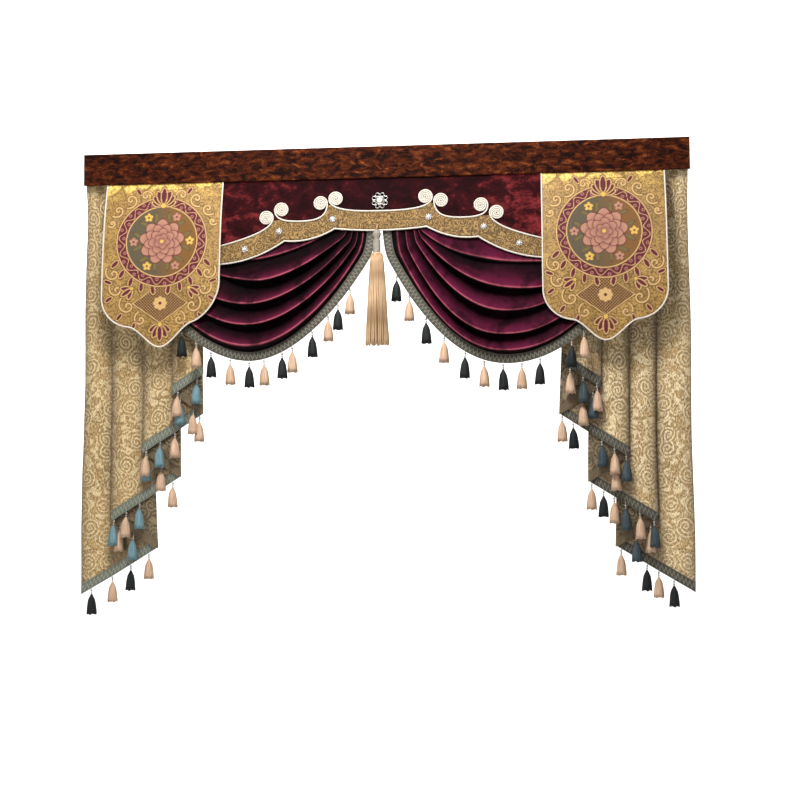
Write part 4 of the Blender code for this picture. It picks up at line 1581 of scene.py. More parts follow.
                cx, cz = x + 0.084 * math.sin(lean + swing), z + 0.084 * math.cos(lean + swing)
                self.edged(self.ellipse(cx, cz, (0.0055, 0.0170), -(lean + 2.2 * swing)), self.MOSS, 0.00035, 0.0012)
            self.blossom(
                x + 0.095 * math.sin(lean), z + 0.095 * math.cos(lean), 0.0155, self.STRAW if k % 2 else self.BLUSH
            )
        self.rosette(x, z, 0.074)

    def net(self, x: float, z: float) -> None:
        """A lace ground of small diamonds under the ring, in a diamond shape.

        Args:
            x: Middle of the net.
            z: Height of its middle.
        """
        across, down = self.x - x, self.z - z
        patch = (np.abs(across) * 0.80 + np.abs(down) * 1.15 - 0.072) * 0.7
        cell = 0.0098
        a = np.abs(np.mod((across + down) / cell, 1.0) - 0.5)
        b = np.abs(np.mod((across - down) / cell, 1.0) - 0.5)
        dots = 0.0026 - np.minimum(a, b) * cell
        self.edged(patch - 0.003, self.CREAM, 0.00050, 0.0016)
        self.lay(patch, (0.420, 0.250, 0.080), 0.00030)
        self.lay(np.maximum(patch, 0.0002 - dots), self.UMBER, 0.00010, 0.0016)


@dataclass
class Tab(Maker):
    """A flat shaped tab with its embroidery and the cord round its edge."""

    side: Side
    centre: float = 0.722
    half: float = 0.1935
    tip: float = -0.653
    shoulder: float = -0.587
    side_end: float = -0.490
    hang_from: float = -0.1065
    lean: float = 0.075
    lean_length: float = 0.25
    buckle: float = 0.003
    cord: float = 0.0052

    def low(self, across: Array) -> Array:
        """Height of the lower edge: a shouldered point, with quarter-round corners.

        Args:
            across: Places across, from -1 to 1.

        Returns:
            The heights.
        """
        reach = np.abs(across)
        low = lerp(self.tip, self.shoulder, smooth(reach / 0.55))
        share = np.clip((reach - 0.5) / 0.5, 0.0, 1.0)
        low = low + (self.side_end - self.shoulder) * (1 - np.sqrt(1 - share**2))
        raised = 0.045 if self.side is Side.LEFT else 0.0
        return low + raised * reach**2 * (across < 0)

    def point(self, across: Array, down: Array) -> Array:
        """Points of the tab: it hangs from the band, y = Y - L (1 - e^(-d / l)) at d under the band.

        Args:
            across: Places across, from -1 to 1.
            down: Places down, from 0 at the seam to 1 at the lower edge.

        Returns:
            The points.
        """
        across, down = np.broadcast_arrays(across, down)
        upper = lerp(CLOTH_TOP, self.hang_from, down / 0.12)
        lower = lerp(self.hang_from, self.low(across), (down - 0.12) / 0.88)
        z = np.where(down <= 0.12, upper, lower)
        y = TAB_Y - self.lean * (1 - np.exp(-np.maximum(0.0, self.hang_from - z) / self.lean_length))
        y = y + self.buckle * np.sin(3.1 * across + 1.0) * smooth((self.hang_from - z) / 0.15)
        return np.stack([self.side.value * (self.centre + self.half * across), y, z], axis=-1)

    def build(self) -> list[Piece]:
        """Builds the tab and its cord.

        Returns:
            The tab and its cord.
        """
        across = np.sin(np.linspace(-0.5, 0.5, 225) * np.pi * 0.93) / math.sin(0.465 * np.pi)
        down = np.concatenate([np.linspace(0.0, 0.12, 8)[:-1], np.linspace(0.12, 1.0, 318)])
        points = self.point(across[None, :], down[:, None])
        local = points[..., 0] - self.side.value * self.centre
        stitches = Stitchery(local, points[..., 2])
        stitches.medallion()
        points[..., 1] -= stitches.height
        colour = np.concatenate([stitches.colour, stitches.cover[..., None]], axis=-1)
        uv = np.stack([local, points[..., 2]], axis=-1)
        if self.side is Side.LEFT:
            points, uv, colour = points[:, ::-1], uv[:, ::-1], colour[:, ::-1]
        sketch = MeshSketch().add_grid(points[::-1], uv[::-1], stitch=colour[::-1])
        name = self.side.word
        tab = sketch.make(f"embroidered_tab_{name}", [self.finishes.satin])
        settle(tab, "embroidered_satin", f"tab_{name}")
        piping = self.edge_cord()
        return [tab, piping]

    def edge_cord(self) -> Piece:
        """The cord down one side, round the lower edge and up the other.

        Returns:
            The cord.
        """
        down = np.linspace(0.12, 1.0, 60)
        turn = np.sin(np.linspace(-0.5, 0.5, 120) * np.pi)
        sides = [
            self.point(np.full(60, -1.0), down),
            self.point(turn, np.ones(120)),
            self.point(np.full(60, 1.0), down[::-1]),
        ]
        edge = np.concatenate([sides[0][:-1], sides[1], sides[2][1:]])
        edge = resample(edge, 0.004)
        out = offset_path(edge[:, [0, 2]], -self.side.value * (self.cord / 2 + SEAM_GAP))
        nearest = PANEL_FRONT - SEAM_GAP - self.cord / 2
        path = np.stack([out[:, 0], np.minimum(edge[:, 1], nearest), out[:, 1]], axis=1)
        path[[0, -1], 2] = -BAND_HEIGHT - 0.001
        sketch = MeshSketch().add_grid(*tube(resample(path, 0.0025), self.cord / 2, 10))
        name = f"tab_piping_{self.side.word}"
        return settle(sketch.make("ivory_" + name, [self.finishes.piping], 1e-7), "ivory_cord", name)


@dataclass
class SmallTassel:
    """A beaded tassel: two silver beads over a bell of threads. Its form is made once and copied."""

    length: float = 0.085

    def skirt(self) -> tuple[Array, Array]:
        """The bell, its radius grooved by 14 folds that fade towards the neck.

        Returns:
            Its points and UVs.
        """
        profile = np.array(
            [
                (-0.0185, 0.0010), (-0.0190, 0.0034), (-0.0235, 0.0048), (-0.0300, 0.0085),
                (-0.0390, 0.0122), (-0.0550, 0.0148), (-0.0700, 0.0163), (-self.length, 0.0173),
                (-self.length + 0.004, 0.0110), (-self.length + 0.006, 0.0010),
            ]
        )
        points, uv = turned(profile, 28, 14, 0.16)
        angle = np.linspace(0, 2 * np.pi, 29)
        points[7, :, 2] += 0.0016 * np.sin(5 * angle + 0.4) + 0.0010 * np.sin(9 * angle)
        return points, uv

    def add(self, sketch: MeshSketch, spots: Array, swings: Array, threads: tuple[Thread, ...]) -> None:
        """Adds a tassel at each spot.

        Args:
            sketch: The mesh to add to. Its slot 1 is the bead's silver.
            spots: (n, 3) points on the strip's lower edge.
            swings: How far each skirt hangs out in front of its spot.
            threads: The colour of each skirt.
        """
        skirt, skirt_uv = self.skirt()
        beads = [ball((0.0, 0.0, -0.0065), 0.0044, 1.0, 10), ball((0.0, 0.0, -0.0145), 0.0038, 1.0, 10)]
        cord, cord_uv = turned(np.array([(0.008, 0.0008), (0.006, 0.0012), (-0.020, 0.0012), (-0.021, 0.0008)]), 6)
        for index, (spot, swing, thread) in enumerate(zip(spots, swings, threads)):
            turn = 0.7 * index
            spin = np.array(
                [[math.cos(turn), math.sin(turn), 0.0], [-math.sin(turn), math.cos(turn), 0.0], [0.0, 0.0, 1.0]]
            )
            for points, uv, slot in (
                (cord, cord_uv, 1), (*beads[0], 1), (*beads[1], 1), (skirt, skirt_uv, thread.value)
            ):
                share = smooth(-points[..., 2] / 0.037)
                lean = 0.02 * math.sin(2.3 * index + spot[0] * 40)
                moved = points @ spin + spot
                moved[..., 1] -= swing * share
                moved[..., 0] += lean * points[..., 2] * (points[..., 2] < 0)
                sketch.add_grid(moved, uv, slot)


SWAG_TASSELS = {
    Side.LEFT: (
        (0.257, BEIGE), (0.323, BLACK), (0.373, BEIGE), (0.446, BLACK),
        (0.528, BEIGE), (0.566, BLACK), (0.629, BEIGE), (0.679, BLACK),
        (0.744, BEIGE), (0.814, BLACK), (0.874, BEIGE), (0.938, BLACK),
    ),
    Side.RIGHT: (
        (0.204, BLACK), (0.284, BEIGE), (0.380, BLACK), (0.468, BEIGE),
        (0.553, BLACK), (0.620, BEIGE), (0.681, BLACK), (0.741, BEIGE),
        (0.801, BLACK), (0.916, BLACK), (0.965, BEIGE),
    ),
}


@dataclass
class Swag(Maker):
    """A draped velvet swag and its fringe."""

    side: Side
    line: BorderLine
    centre: float = 0.443
    sewn: float = -0.235
    last: float = 5.5
    shear: float = 1.15
    back: float = 0.007
    out_end: float = 0.010
    out_middle: float = 0.032
    hem_fall: float = 0.45
    first_fold: float = 0.25
    belly: float = 0.055
    gather_from: float = 0.92
    gather_in: float = 0.014
    y: float = PANEL_BACK + SEAM_GAP + 0.0013

    def folds(self) -> Array:
        """One row a fold: its lowest height, where it gathers, how round it hangs and where it hangs lowest.

        Returns:
            The rows, from the upper edge to the hem.
        """
        if self.side is Side.LEFT:
            rows = (
                (-0.255, 0.160, 1.80, -0.025),
                (-0.364, 0.132, 1.71, 0.016),
                (-0.440, 0.097, 1.74, -0.130),
                (-0.518, 0.078, 1.93, -0.042),
                (-0.587, 0.060, 1.98, -0.041),
                (-0.656, 0.043, 1.98, -0.054),
                (-0.824, -0.056, 1.32, -0.031),
            )
        else:
            rows = (
                (-0.262, 0.160, 1.80, 0.430),
                (-0.389, 0.111, 3.68, 0.449),
                (-0.482, 0.108, 2.31, 0.054),
                (-0.556, 0.094, 2.09, -0.093),
                (-0.632, 0.066, 2.18, -0.116),
                (-0.684, 0.039, 2.15, -0.100),
                (-0.785, -0.120, 1.20, 0.050),
            )
        return np.array(rows)

    def outline(self, across: Array, place: Array) -> tuple[Array, Array]:
        """Distance and height on a fold's hanging curve, z = low + (end - low) r^n, drawn in at the gathers.

        The reach r is 0 at the lowest point c and 1 at both gathers: (c - t) / (1 + c) or (t - c) / (1 - c).

        Args:
            across: Places across, from -1 at the inner gather to 1.
            place: Places down, counted in folds.

        Returns:
            The distances from the middle and the heights.
        """
        rows = self.folds()
        index = np.clip(place.astype(int), 0, len(rows) - 2)
        blend = lerp(rows[index], rows[index + 1], (place - index)[..., None])
        low, gather, roundness, lowest = np.moveaxis(blend, -1, 0)
        end = lerp(-0.250, -0.300, place / 5.0)
        reach = np.where(across < lowest, (lowest - across) / (1 + lowest), (across - lowest) / (1 - lowest))
        tuck = np.maximum(0.0, (np.abs(across) - self.gather_from) / (1 - self.gather_from)) ** 2
        height = low + (end - low) * reach**roundness + (self.sewn - end) * tuck
        return self.centre + across * (self.centre - gather - self.gather_in * tuck), height

    def point(self, across: Array, place: Array) -> Array:
        """Points of the swag. Down the cloth each fold is a sheared wave of phase p = 2 pi w.

        The row read is w + s (cos p - 1) / 2 pi, and the cloth stands out by A (1 + cos p) / 2, so it comes
        forward slowly, turns over at the ridge and tucks back sharply under it.

        Args:
            across: Places across, from -1 at the inner gather to 1.
            place: Places down, counted in folds.

        Returns:
            The points.
        """
        across, place = np.broadcast_arrays(across, place)
        phase = 2 * np.pi * place
        x, height = self.outline(across, np.maximum(0.0, place + self.shear / (2 * np.pi) * (np.cos(phase) - 1)))
        out = (1 + np.cos(phase)) / 2
        out = np.where(place > 5.0, lerp(self.hem_fall, 1.0, out), out)
        out = np.where(place < 1.0, out * smooth(place), out)
        spread = np.exp(-(((x - 0.33) / 0.17) ** 2))
        forward = (self.out_end + self.out_middle * spread) * out * lerp(self.first_fold, 1.0, smooth(place - 1))
        forward = forward + self.belly * smooth((-0.300 - height) / 0.40)
        clear = smooth((self.line.lowest_cloth(x) - 0.035 - height) / 0.035)
        return np.stack([self.side.value * x, self.y + self.back * (1 - out) - clear * forward, height], axis=-1)

    def build(self) -> list[Piece]:
        """Builds the swag and its fringe.

        Returns:
            The swag and its fringe.
        """
        columns, rows = 150, 199
        across = np.sin(np.linspace(-0.5, 0.5, columns) * np.pi)[None, :]
        place = np.linspace(0.0, self.last, rows)[:, None]
        points = self.point(across, place)
        clear = smooth((self.line.lowest_cloth(np.abs(points[..., 0])) - 0.03 - points[..., 2]) / 0.05)
        fine = ripple(
            across * 9 + 0 * place, place * 2 + across * 3, ((3.0, 1.0, 0.2), (7.0, 2.0, 1.4), (13.0, -1.0, 2.0))
        )
        points[..., 1] -= 0.0016 * clear * fine * (1 - np.abs(across) ** 4)
        # Painted highlight masks: a thin line along the top of each fold and a softer band above it, stronger on the
        # right swag.
        phase = np.mod(place, 1.0) + 0 * across
        near = np.minimum(phase, 1 - phase)
        shown = smooth((self.line.lowest_cloth(np.abs(points[..., 0])) - points[..., 2]) / 0.015)
        crest = np.exp(-((near / 0.022) ** 2)) * shown * (place > 0.5)
        fade, strength = (0.16, 0.75) if self.side is Side.LEFT else (0.24, 0.95)
        glow = strength * np.exp(-(((1 - phase) / fade) ** 2)) * shown
        uv = np.stack(np.broadcast_arrays(across * self.centre, place * 0.16), axis=-1)
        ordered = slice(None, None, -1) if self.side is Side.RIGHT else slice(None)
        sketch = MeshSketch().add_grid(points[ordered], uv[ordered], crest=crest[ordered], glow=glow[ordered])
        name = self.side.word
        swag = sketch.make(f"velvet_swag_{name}", [self.finishes.swag])
        thicken(swag, CLOTH)
        settle(swag, "burgundy_velvet", f"swag_{name}")
        fringe = self.fringe()
        return [swag, fringe]

    def fringe(self) -> Piece:
        """The braid along the hem, square to it in the front view, and its tassels.

        Returns:
            The fringe.
        """
        columns = 180
        across = np.sin(np.linspace(-0.5, 0.5, columns) * np.pi)
        edge = self.point(across, np.full(columns, self.last))
        along = np.gradient(edge, axis=0)
        away = self.side.value * np.stack([along[:, 2], np.zeros(columns), -along[:, 0]], axis=1)
        away /= np.linalg.norm(away, axis=1, keepdims=True)
        t = STRIP_ROWS[:, None, None]
        strip = edge[None] + away[None] * lerp(-STRIP_LAP, HEM_GAP + STRIP_WIDTH, t)
        foot = strip[-1]
        run = lengths(foot)
        uv = np.stack(np.broadcast_arrays(run[None, :], 1 - t[..., 0]), axis=-1)
        sketch = MeshSketch()
        add_strip(sketch, strip, uv, -self.side.value, 5)
        places, threads = zip(*SWAG_TASSELS[self.side])
        spots = np.stack([np.interp(places, run, foot[:, k]) for k in range(3)], axis=1)
        SmallTassel().add(sketch, spots, np.zeros(len(spots)), threads)
        name = f"swag_fringe_{self.side.word}"
        materials = self.finishes.trim(self.finishes.braid, self.finishes.teal)
        return settle(sketch.make("tasselled_" + name, materials, 1e-7), "braid", name)


def add_strip(
    sketch: MeshSketch, strip: Array, uv: Array, outward: int, wrong_side: int, thickness: float = 0.0022
) -> None:
    """Adds a flat strip as a closed form: its crowned right side, its wrong side, and its ends.

    A point stands off the middle surface by thickness / 2 (0.75 + 0.25 sin(pi t)), t across the strip.

    Args:
        sketch: The mesh to add to.
        strip: (rows, columns, 3) points of its middle surface.
        uv: Their texture places.
        outward: 1 where columns x rows gives the right side's normal, or -1.
        wrong_side: Material slot of the wrong side.
        thickness: Thickness of the strip.
    """
    normal = np.cross(np.gradient(strip, axis=1), np.gradient(strip, axis=0))
    normal /= np.maximum(np.linalg.norm(normal, axis=2, keepdims=True), 1e-9)
    crown = np.sin(np.pi * STRIP_ROWS)[:, None, None] * 0.25 + 0.75
    reach = outward * normal * crown * thickness / 2
    front, back = strip + reach, strip - reach
    rim = np.concatenate([front[-1:], back[::-1], front[:1]])
    sketch.add_grid(front, uv)
    sketch.add_grid(rim, np.concatenate([uv[-1:], uv[::-1], uv[:1]]), wrong_side)
    for end in (0, -1):
        sketch.add_grid(np.stack([front[:, end], back[:, end]]), np.stack([uv[:, end], uv[:, end]]))


@dataclass(frozen=True)
class TailCut:
    """How one tail is folded, cut and trimmed, from its outer edge inwards.

    Each fold has its distance from the middle at the hem and at the heading. Each tassel has the panel that
    it hangs from, how far along that panel it is, and its thread.
    """

    folds: tuple[tuple[float, float], ...]
    drop: float
    slope: float
    tassels: tuple[tuple[int, float, Thread], ...]


TAIL_CUTS = {
    Side.LEFT: TailCut(
        folds=(
            (1.017, 0.997), (0.752, 0.806), (0.912, 0.921), (0.662, 0.706),
            (0.803, 0.808), (0.584, 0.620), (0.700, 0.703), (0.585, 0.606),
        ),
        drop=1.470,
        slope=0.575,
        tassels=(
            (0, 0.13, BLACK), (0, 0.39, BEIGE), (0, 0.64, BLACK), (0, 0.89, BEIGE),
            (1, 0.52, TINTED), (1, 0.83, BEIGE), (2, 0.03, TINTED), (2, 0.22, BEIGE),
            (2, 0.41, TINTED), (2, 0.90, BEIGE), (3, 0.49, BEIGE), (3, 0.90, TINTED),
            (4, 0.06, BEIGE), (4, 0.30, TINTED), (4, 0.54, BEIGE), (4, 0.96, BEIGE),
            (5, 0.29, BEIGE), (5, 0.76, TINTED), (6, 0.17, BEIGE), (6, 0.80, TINTED),
        ),
    ),
    Side.RIGHT: TailCut(
        folds=(
            (0.998, 0.995), (0.741, 0.800), (0.882, 0.886), (0.652, 0.700),
            (0.798, 0.795), (0.557, 0.604), (0.711, 0.706), (0.565, 0.600),
        ),
        drop=1.458,
        slope=0.5625,
        tassels=(
            (0, 0.27, BLACK), (0, 0.46, BEIGE), (0, 0.61, BLACK), (0, 0.95, BEIGE),
            (1, 0.47, TINTED), (1, 0.85, BEIGE), (2, 0.04, TINTED), (2, 0.25, BEIGE),
            (2, 0.46, TINTED), (2, 0.63, BEIGE), (2, 0.79, BLACK), (2, 0.97, BEIGE),
            (3, 0.69, BEIGE), (4, 0.03, TINTED), (4, 0.20, BEIGE), (4, 0.38, TINTED),
            (4, 0.81, BLACK), (4, 0.98, BEIGE), (5, 0.56, BEIGE), (5, 0.83, TINTED),
            (6, 0.08, BEIGE), (6, 0.44, TINTED), (6, 0.78, BEIGE),
        ),
    ),
}


@dataclass
class Tail(Maker):
    """A pleated side tail: seven panels back and forth, the innermost in front, with a slanting hem."""

    side: Side
    panels: int = 7
    y_top: float = 0.0254
    y_low: float = 0.061
    settle_over: float = 0.22
    pitch_top: float = 0.0032
    pitch_growth: float = 0.0064
    edge_forward: float = 0.0235
    swell: float = 0.007
    tassel_clear: float = 0.0215

    @property
    def cut(self) -> TailCut:
        """This side's folds, cut and trim."""
        return TAIL_CUTS[self.side]

    def panel_runs(self) -> Array:
        """Distance along the flat cloth to the start of each panel, and to the end of the last."""
        hems = np.array([hem for hem, _ in self.cut.folds])
        return np.concatenate([[0.0], np.cumsum(np.abs(np.diff(hems)))])

    def columns(self, panel_step: float, turn_steps: int) -> tuple[Array, Array, Array]:
        """Columns across the cloth as (panel, share along it, share of its turn), -1 where it isn't turning.

        Args:
            panel_step: Wanted distance between columns.
            turn_steps: Columns in a turn.

        Returns:
            The three numbers of each column.
        """
        runs = self.panel_runs()
        found: list[tuple[float, float, float]] = []
        for panel in range(self.panels):
            steps = max(3, round((runs[panel + 1] - runs[panel]) / panel_step))
            found += [(panel, k / steps, -1.0) for k in range(steps + 1)]
            if panel < self.panels - 1:
                found += [(panel, 1.0, k / turn_steps) for k in range(1, turn_steps)]
        return tuple(np.array(found, float).T)

    def run(self, panel: Array, share: Array) -> Array:
        """Distance along the flat cloth.

        Args:
            panel: Panel that each place is on.
            share: Share along its panel.

        Returns:
            The distances.
        """
        runs = self.panel_runs()
        index = panel.astype(int)
        return runs[index] + (runs[index + 1] - runs[index]) * share

    def foot(self, run: Array) -> Array:
        """Height of the fringe's foot: one straight slanting cut, slope times run less the drop."""
        return self.cut.slope * run - self.cut.drop

    def pitch(self, height: Array) -> Array:
        """Distance between the layers, which open out towards the hem."""
        return self.pitch_top - self.pitch_growth * height

    def fold(self, index: Array, height: Array) -> Array:
        """Distance of a fold from the middle, a straight line from the heading to the hem."""
        hem, top = np.moveaxis(np.array(self.cut.folds)[np.minimum(index, self.panels)], -1, 0)
        return lerp(top, hem, np.minimum(1.0, -height / self.cut.drop))

    def point(self, panel: Array, share: Array, turn: Array, height: Array) -> Array:
        """Points of the tail's middle at given heights.

        Each panel is a straight run from one fold to the next at its own depth. A turn is half a circle of
        radius pitch / 2. A front panel swells by a half sine, and the outer one bends forward at its edge.

        Args:
            panel: Panel that each point is on.
            share: Share along its panel.
            turn: Share of its turn, or -1.
            height: Its height.

        Returns:
            The points.
        """
        panel, share, turn, height = np.broadcast_arrays(panel, share, turn, height)
        index = panel.astype(int)
        inward = np.where(index % 2 == 0, -1.0, 1.0)
        radius = self.pitch(height) / 2
        near, far, seen_to = (self.fold(index + k, height) for k in range(3))
        start = near + np.where(index > 0, inward * radius, 0.0)
        end = far - np.where(index < self.panels - 1, inward * radius, 0.0)
        back = lerp(self.y_top, self.y_low, smooth(-height / self.settle_over))
        y = back - panel * self.pitch(height)
        x = lerp(start, end, share)
        across = (near - x) / np.maximum(near - seen_to, 1e-6)
        front = (index % 2 == 0) & (turn < 0)
        rounded = self.swell * np.minimum(1.0, -height / 0.30)
        y = y - np.where(front & (across < 1.0), rounded * np.sin(np.pi * np.clip(across, 0, 1)), 0.0)
        y = y - np.where(front & (index == 0), self.edge_forward * np.maximum(0.0, 1 - across) ** 1.5, 0.0)
        angle = np.pi * np.maximum(turn, 0.0)
        x = np.where(turn >= 0, end + inward * radius * np.sin(angle), x)
        y = np.where(turn >= 0, y - radius * (1 - np.cos(angle)), y)
        sway = 0.0022 * smooth(-height / 0.5) * np.sin(9.0 * height + 0.6 * self.side.value)
        return np.stack([self.side.value * (x + sway), y, height], axis=-1)

    def crease(self, panel: Array, share: Array, turn: Array, height: Array) -> Array:
        """Painted shade: how far the cloth is turned from the light, 0 amid a front panel, 1 in a turn or under the
        next layer.

        With s the share of the panel that shows, from its fold inwards, the mask is |2 s - 1|^2.5.

        Args:
            panel: Panel that each point is on.
            share: Share along its panel.
            turn: Share of its turn, or -1.
            height: Its height.

        Returns:
            The mask.
        """
        index = panel.astype(int)
        near, far, seen_to = (self.fold(index + k, height) for k in range(3))
        seen = (near - lerp(near, far, share)) / np.maximum(near - seen_to, 1e-6)
        mask = np.abs(2 * np.clip(seen, 0.0, 1.0) - 1) ** 2.5
        back = (index % 2 == 1) | (turn >= 0)
        return np.where(back, 1.0, mask) * smooth(-height / 0.3)

    def drag(self, points: Array, run: Array) -> Array:
        """Soft diagonal drag lines on the cloth, at most 2 mm deep, faded out at the hem and heading.

        Args:
            points: The tail's points.
            run: Distance of each column along the flat cloth.

        Returns:
            How far each point moves back.
        """
        z = points[..., 2]
        wave = ripple(run[None, :] + 0 * z, z, ((30.0, 16.0, 0.5), (46.0, 27.0, 2.2), (-18.0, 35.0, 4.1)))
        return 0.0016 * wave * smooth(-z / 0.4) * smooth((z - self.foot(run)[None, :]) / 0.15)

    def build(self) -> list[Piece]:
        """Builds the tail and its fringe.

        Returns:
            The tail and its fringe.
        """
        panel, share, turn = self.columns(0.0068, 6)
        run = self.run(panel, share)
        low = self.foot(run) + self.strip_height() + HEM_GAP
        t = np.linspace(0.0, 1.0, 120)[:, None]
        height = lerp(CLOTH_TOP, low[None, :], t)
        points = self.point(panel[None], share[None], turn[None], height)
        points[..., 1] += self.drag(points, run)
        uv = np.stack(np.broadcast_arrays(run[None, :], height), axis=-1)
        # Painted shade mask: dark in the turns and under the next layer, light amid each front panel.
        crease = self.crease(panel[None], share[None], turn[None], height)
        if self.side is Side.LEFT:
            points, uv, crease = points[:, ::-1], uv[:, ::-1], crease[:, ::-1]
        sketch = MeshSketch().add_grid(points, uv, crease=crease)
        name = self.side.word
        damask = self.finishes.damask[self.side]
        tail = sketch.make(f"damask_tail_{name}", [damask, self.finishes.wrong_side])
        thicken(tail, CLOTH, 1)
        settle(tail, "gold_damask", f"tail_{name}")
        fringe = self.fringe()
        return [tail, fringe]

    def strip_height(self) -> float:
        """Upright height of the braid, which lies along the slanting cut."""
        return STRIP_WIDTH * math.hypot(1.0, self.cut.slope)

    def fringe(self) -> Piece:
        """The braid along the slanting hem and its tassels.

        Returns:
            The fringe.
        """
        panel, share, turn = self.columns(0.008, 5)
        run = self.run(panel, share)
        t = STRIP_ROWS[::-1, None]
        height = self.foot(run)[None, :] + (self.strip_height() + HEM_GAP + STRIP_LAP) * t
        points = self.point(panel[None], share[None], turn[None], height)
        slant = run * math.hypot(1.0, self.cut.slope)
        sketch = MeshSketch()
        add_strip(sketch, points, np.stack(np.broadcast_arrays(slant[None, :], t), axis=-1), self.side.value, 5)
        on = np.array([(number, where) for number, where, _ in self.cut.tassels])
        threads = tuple(thread for _, _, thread in self.cut.tassels)
        foot = self.foot(self.run(on[:, 0], on[:, 1]))
        spots = self.point(on[:, 0], on[:, 1], np.full(len(on), -1.0), foot)
        swings = np.where(on[:, 0] == 0, 0.0, self.tassel_clear - self.pitch(foot))
        SmallTassel().add(sketch, spots, swings, threads)
        name = f"tail_fringe_{self.side.word}"
        shop = self.finishes
        on_left = self.side is Side.LEFT
        braid, tint = (shop.tail_braid, shop.teal) if on_left else (shop.braid, shop.slate)
        materials = shop.trim(braid, tint)
        return settle(sketch.make("tasselled_" + name, materials, 1e-7), "braid", name)


@dataclass
class CentreTassel(Maker):
    """The large tassel: a knotted head, a wound neck and three rings of bullion strands, on a loop of cord."""

    x: float = -0.008
    y: float = -0.042
    top: float = -0.370
    foot: float = -0.657
    strand: float = 0.0029
    rings: tuple[tuple[int, float, float], ...] = ((30, 0.0180, 0.0365), (22, 0.0130, 0.0285), (12, 0.0070, 0.0170))

    def turned_part(self, profile: Array, sides: int, flutes: int = 0, depth: float = 0.0) -> tuple[Array, Array]:
        """A turned form about the tassel's own upright line."""
        points, uv = turned(profile, sides, flutes, depth)
        return points + [self.x, self.y, 0.0], uv

    def strands(self, sketch: MeshSketch) -> None:
        """Strands hang from the cap and spread: reach = root + (end - root) t^0.8, with a slight sway.

        Args:
            sketch: The mesh to add to.
        """
        t = np.linspace(0.0, 1.0, 15)
        for count, root, end in self.rings:
            for k in range(count):
                angle = 2 * np.pi * (k + 0.5) / count
                lift = 0.004 * math.sin(2.9 * k + count)
                reach = lerp(root, end, t**0.8) + 0.0010 * np.sin(6 * t + 1.7 * k) * t
                swing = angle + 0.05 * np.sin(4 * t + 2.1 * k) * t
                path = np.stack(
                    [
                        self.x + reach * np.cos(swing),
                        self.y + reach * np.sin(swing),
                        lerp(self.top, self.foot + lift, t),
                    ],
                    axis=1,
                )
                sketch.add_grid(*tube(path, self.strand, 7))

    def build(self) -> list[Piece]:
        """Builds the tassel and its hanging loop.

        Returns:
            The tassel and its loop.
        """
        sketch = MeshSketch()
        self.strands(sketch)
        head = np.array(
            [
                (-0.283, 0.0005), (-0.284, 0.0050), (-0.288, 0.0108), (-0.296, 0.0142),
                (-0.303, 0.0138), (-0.311, 0.0106), (-0.317, 0.0092), (-0.319, 0.0095),
            ]
        )
        sketch.add_grid(*self.turned_part(head, 24, 8, 0.10), 1)
        height = np.linspace(-0.318, -0.362, 60)
        neck = np.stack([height, 0.0124 + 0.0006 * np.abs(np.sin(np.linspace(0, 20 * np.pi, 60)))], axis=1)
        sketch.add_grid(*self.turned_part(neck, 24), 1)
        cap = np.array(
            [
                (-0.359, 0.0110), (-0.361, 0.0165), (-0.366, 0.0196), (-0.376, 0.0207),
                (-0.386, 0.0215), (-0.388, 0.0180),
            ]
        )
        sketch.add_grid(*self.turned_part(cap, 40, 20, 0.06))
        tassel = sketch.make("bullion_tassel", [self.finishes.bullion, self.finishes.knot], 1e-7)
        settle(tassel, "bullion", "centre_tassel")
        front = BORDER_Y - CLOTH / 2 - SEAM_GAP
        route = [(front, -0.2615), (-0.012, -0.2610), (-0.026, -0.2645), (self.y + 0.001, -0.2710), (self.y, -0.2827)]
        y, z = bezier(route, np.linspace(0.0, 1.0, 40)).T
        path = np.stack([np.full(40, self.x), y, z], axis=1)
        loop = MeshSketch().add_grid(*tube(path, 0.002, 8)).make("tassel_loop", [self.finishes.bullion], 1e-7)
        return [tassel, settle(loop, "bullion", "centre_hanger")]


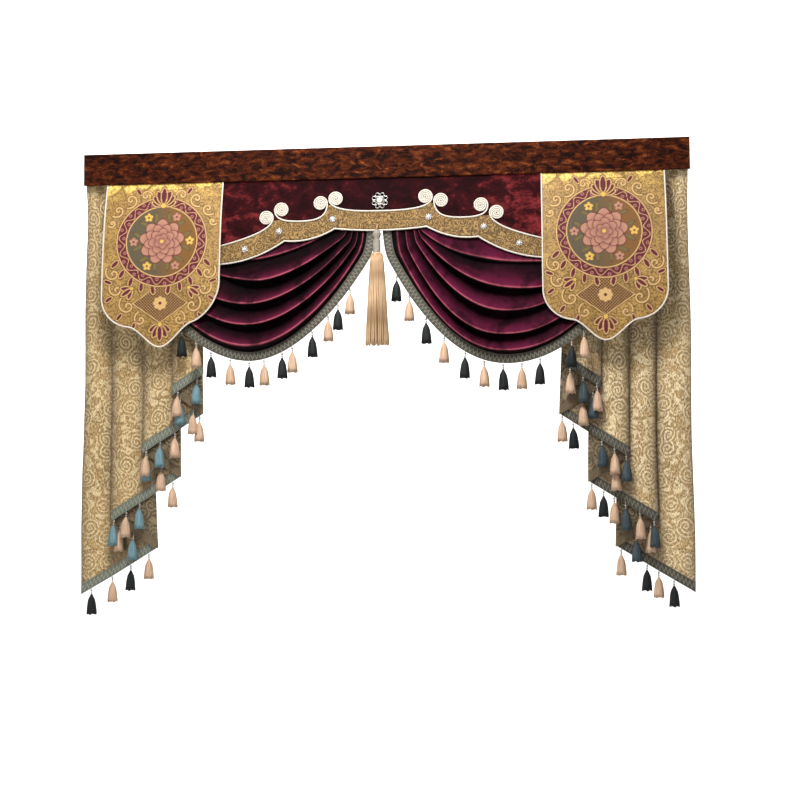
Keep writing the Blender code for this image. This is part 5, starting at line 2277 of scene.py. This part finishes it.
@dataclass
class Studio:
    """Camera, soft lights, and the plain pale floor and wall behind."""

    place: tuple[float, float, float] = (0.466, -4.2, -1.057)
    yaw: float = math.radians(5.52)
    pitch: float = math.radians(3.0)
    roll: float = math.radians(-0.38)
    lens: float = 58.545
    reach: float = 9.0
    floor: float = -2.6
    wall: float = 6.5

    def camera(self) -> None:
        """Stands the camera at the photograph's viewing angle."""
        turns = ((self.yaw, "Z"), (math.pi / 2 + self.pitch, "X"), (self.roll, "Z"))
        pan, tilt, level = (Matrix.Rotation(angle, 4, axis) for angle, axis in turns)
        data = bpy.data.cameras.new("view")
        data.sensor_width = 36.0
        data.lens = self.lens
        camera = bpy.data.objects.new("view", data)
        camera.matrix_world = Matrix.Translation(self.place) @ pan @ tilt @ level
        bpy.context.scene.collection.objects.link(camera)
        bpy.context.scene.camera = camera

    def light(
        self, name: str, place: tuple[float, float, float], aim: tuple[float, float, float], size: float, power: float
    ) -> None:
        """A square area light at a place, turned towards an aim.

        Args:
            name: Name of the light.
            place: Where it stands.
            aim: The point that it faces.
            size: Its width.
            power: Its power in watts.
        """
        data = bpy.data.lights.new(name, "AREA")
        data.size = size
        data.energy = power
        lamp = bpy.data.objects.new(name, data)
        lamp.location = place
        lamp.rotation_euler = (Vector(aim) - Vector(place)).to_track_quat("-Z", "Y").to_euler()
        bpy.context.scene.collection.objects.link(lamp)

    def build(self) -> None:
        """Sets the camera, the four lights, the world and the stage."""
        self.camera()
        self.light("key", (-0.1, -1.7, 1.0), (0.0, 0.0, -0.7), 0.7, 77.0)
        self.light("fill", (-2.2, -3.2, -0.6), (0.0, 0.0, -0.9), 2.2, 38.0)
        self.light("top", (0.0, -0.55, 0.75), (0.0, 0.0, -0.4), 0.9, 11.5)
        self.light("wall light", (-0.9, 4.9, 2.8), (-0.9, self.wall, -1.0), 6.0, 700.0)
        world = bpy.data.worlds.new("soft room")
        world.use_nodes = True
        backing = world.node_tree.nodes["Background"]
        backing.inputs["Color"].default_value = (1.0, 1.0, 1.0, 1.0)
        backing.inputs["Strength"].default_value = 0.40
        bpy.context.scene.world = world
        material, _, shader = start_material("pale stage")
        shader.inputs["Base Color"].default_value = (0.93, 0.93, 0.92, 1.0)
        shader.inputs["Roughness"].default_value = 0.9
        foot = [(self.wall, self.floor)]
        for name, edges in (("floor", [(-7.0, self.floor), *foot]), ("wall", [*foot, (self.wall, 6.0)])):
            (y, z), (far_y, far_z) = edges
            corners = [
                (-self.reach, y, z), (self.reach, y, z), (self.reach, far_y, far_z), (-self.reach, far_y, far_z)
            ]
            mesh = bpy.data.meshes.new(name)
            mesh.from_pydata(corners, [], [(0, 1, 2, 3)])
            mesh.materials.append(material)
            stage = bpy.data.objects.new(name, mesh)
            bpy.context.scene.collection.objects.link(stage)
        bpy.context.scene.view_settings.view_transform = "Standard"


def main() -> None:
    """Loads the frame, builds each part of the valance in order and reports it."""
    logging.basicConfig(level=logging.INFO, format="%(name)s: %(message)s")
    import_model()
    Studio().build()
    finishes = Finishes()
    line = BorderLine()
    makers = [HeadingBand(finishes), FlatFront(finishes, line), Jewels(finishes), CentreTassel(finishes)]
    for side in Side:
        makers += [Tab(finishes, side), Swag(finishes, side, line), Tail(finishes, side)]
    for maker in makers:
        for piece in maker.build():
            LOG.info("%s: %d faces", piece.name, len(piece.data.polygons))


if __name__ == "__main__":
    main()
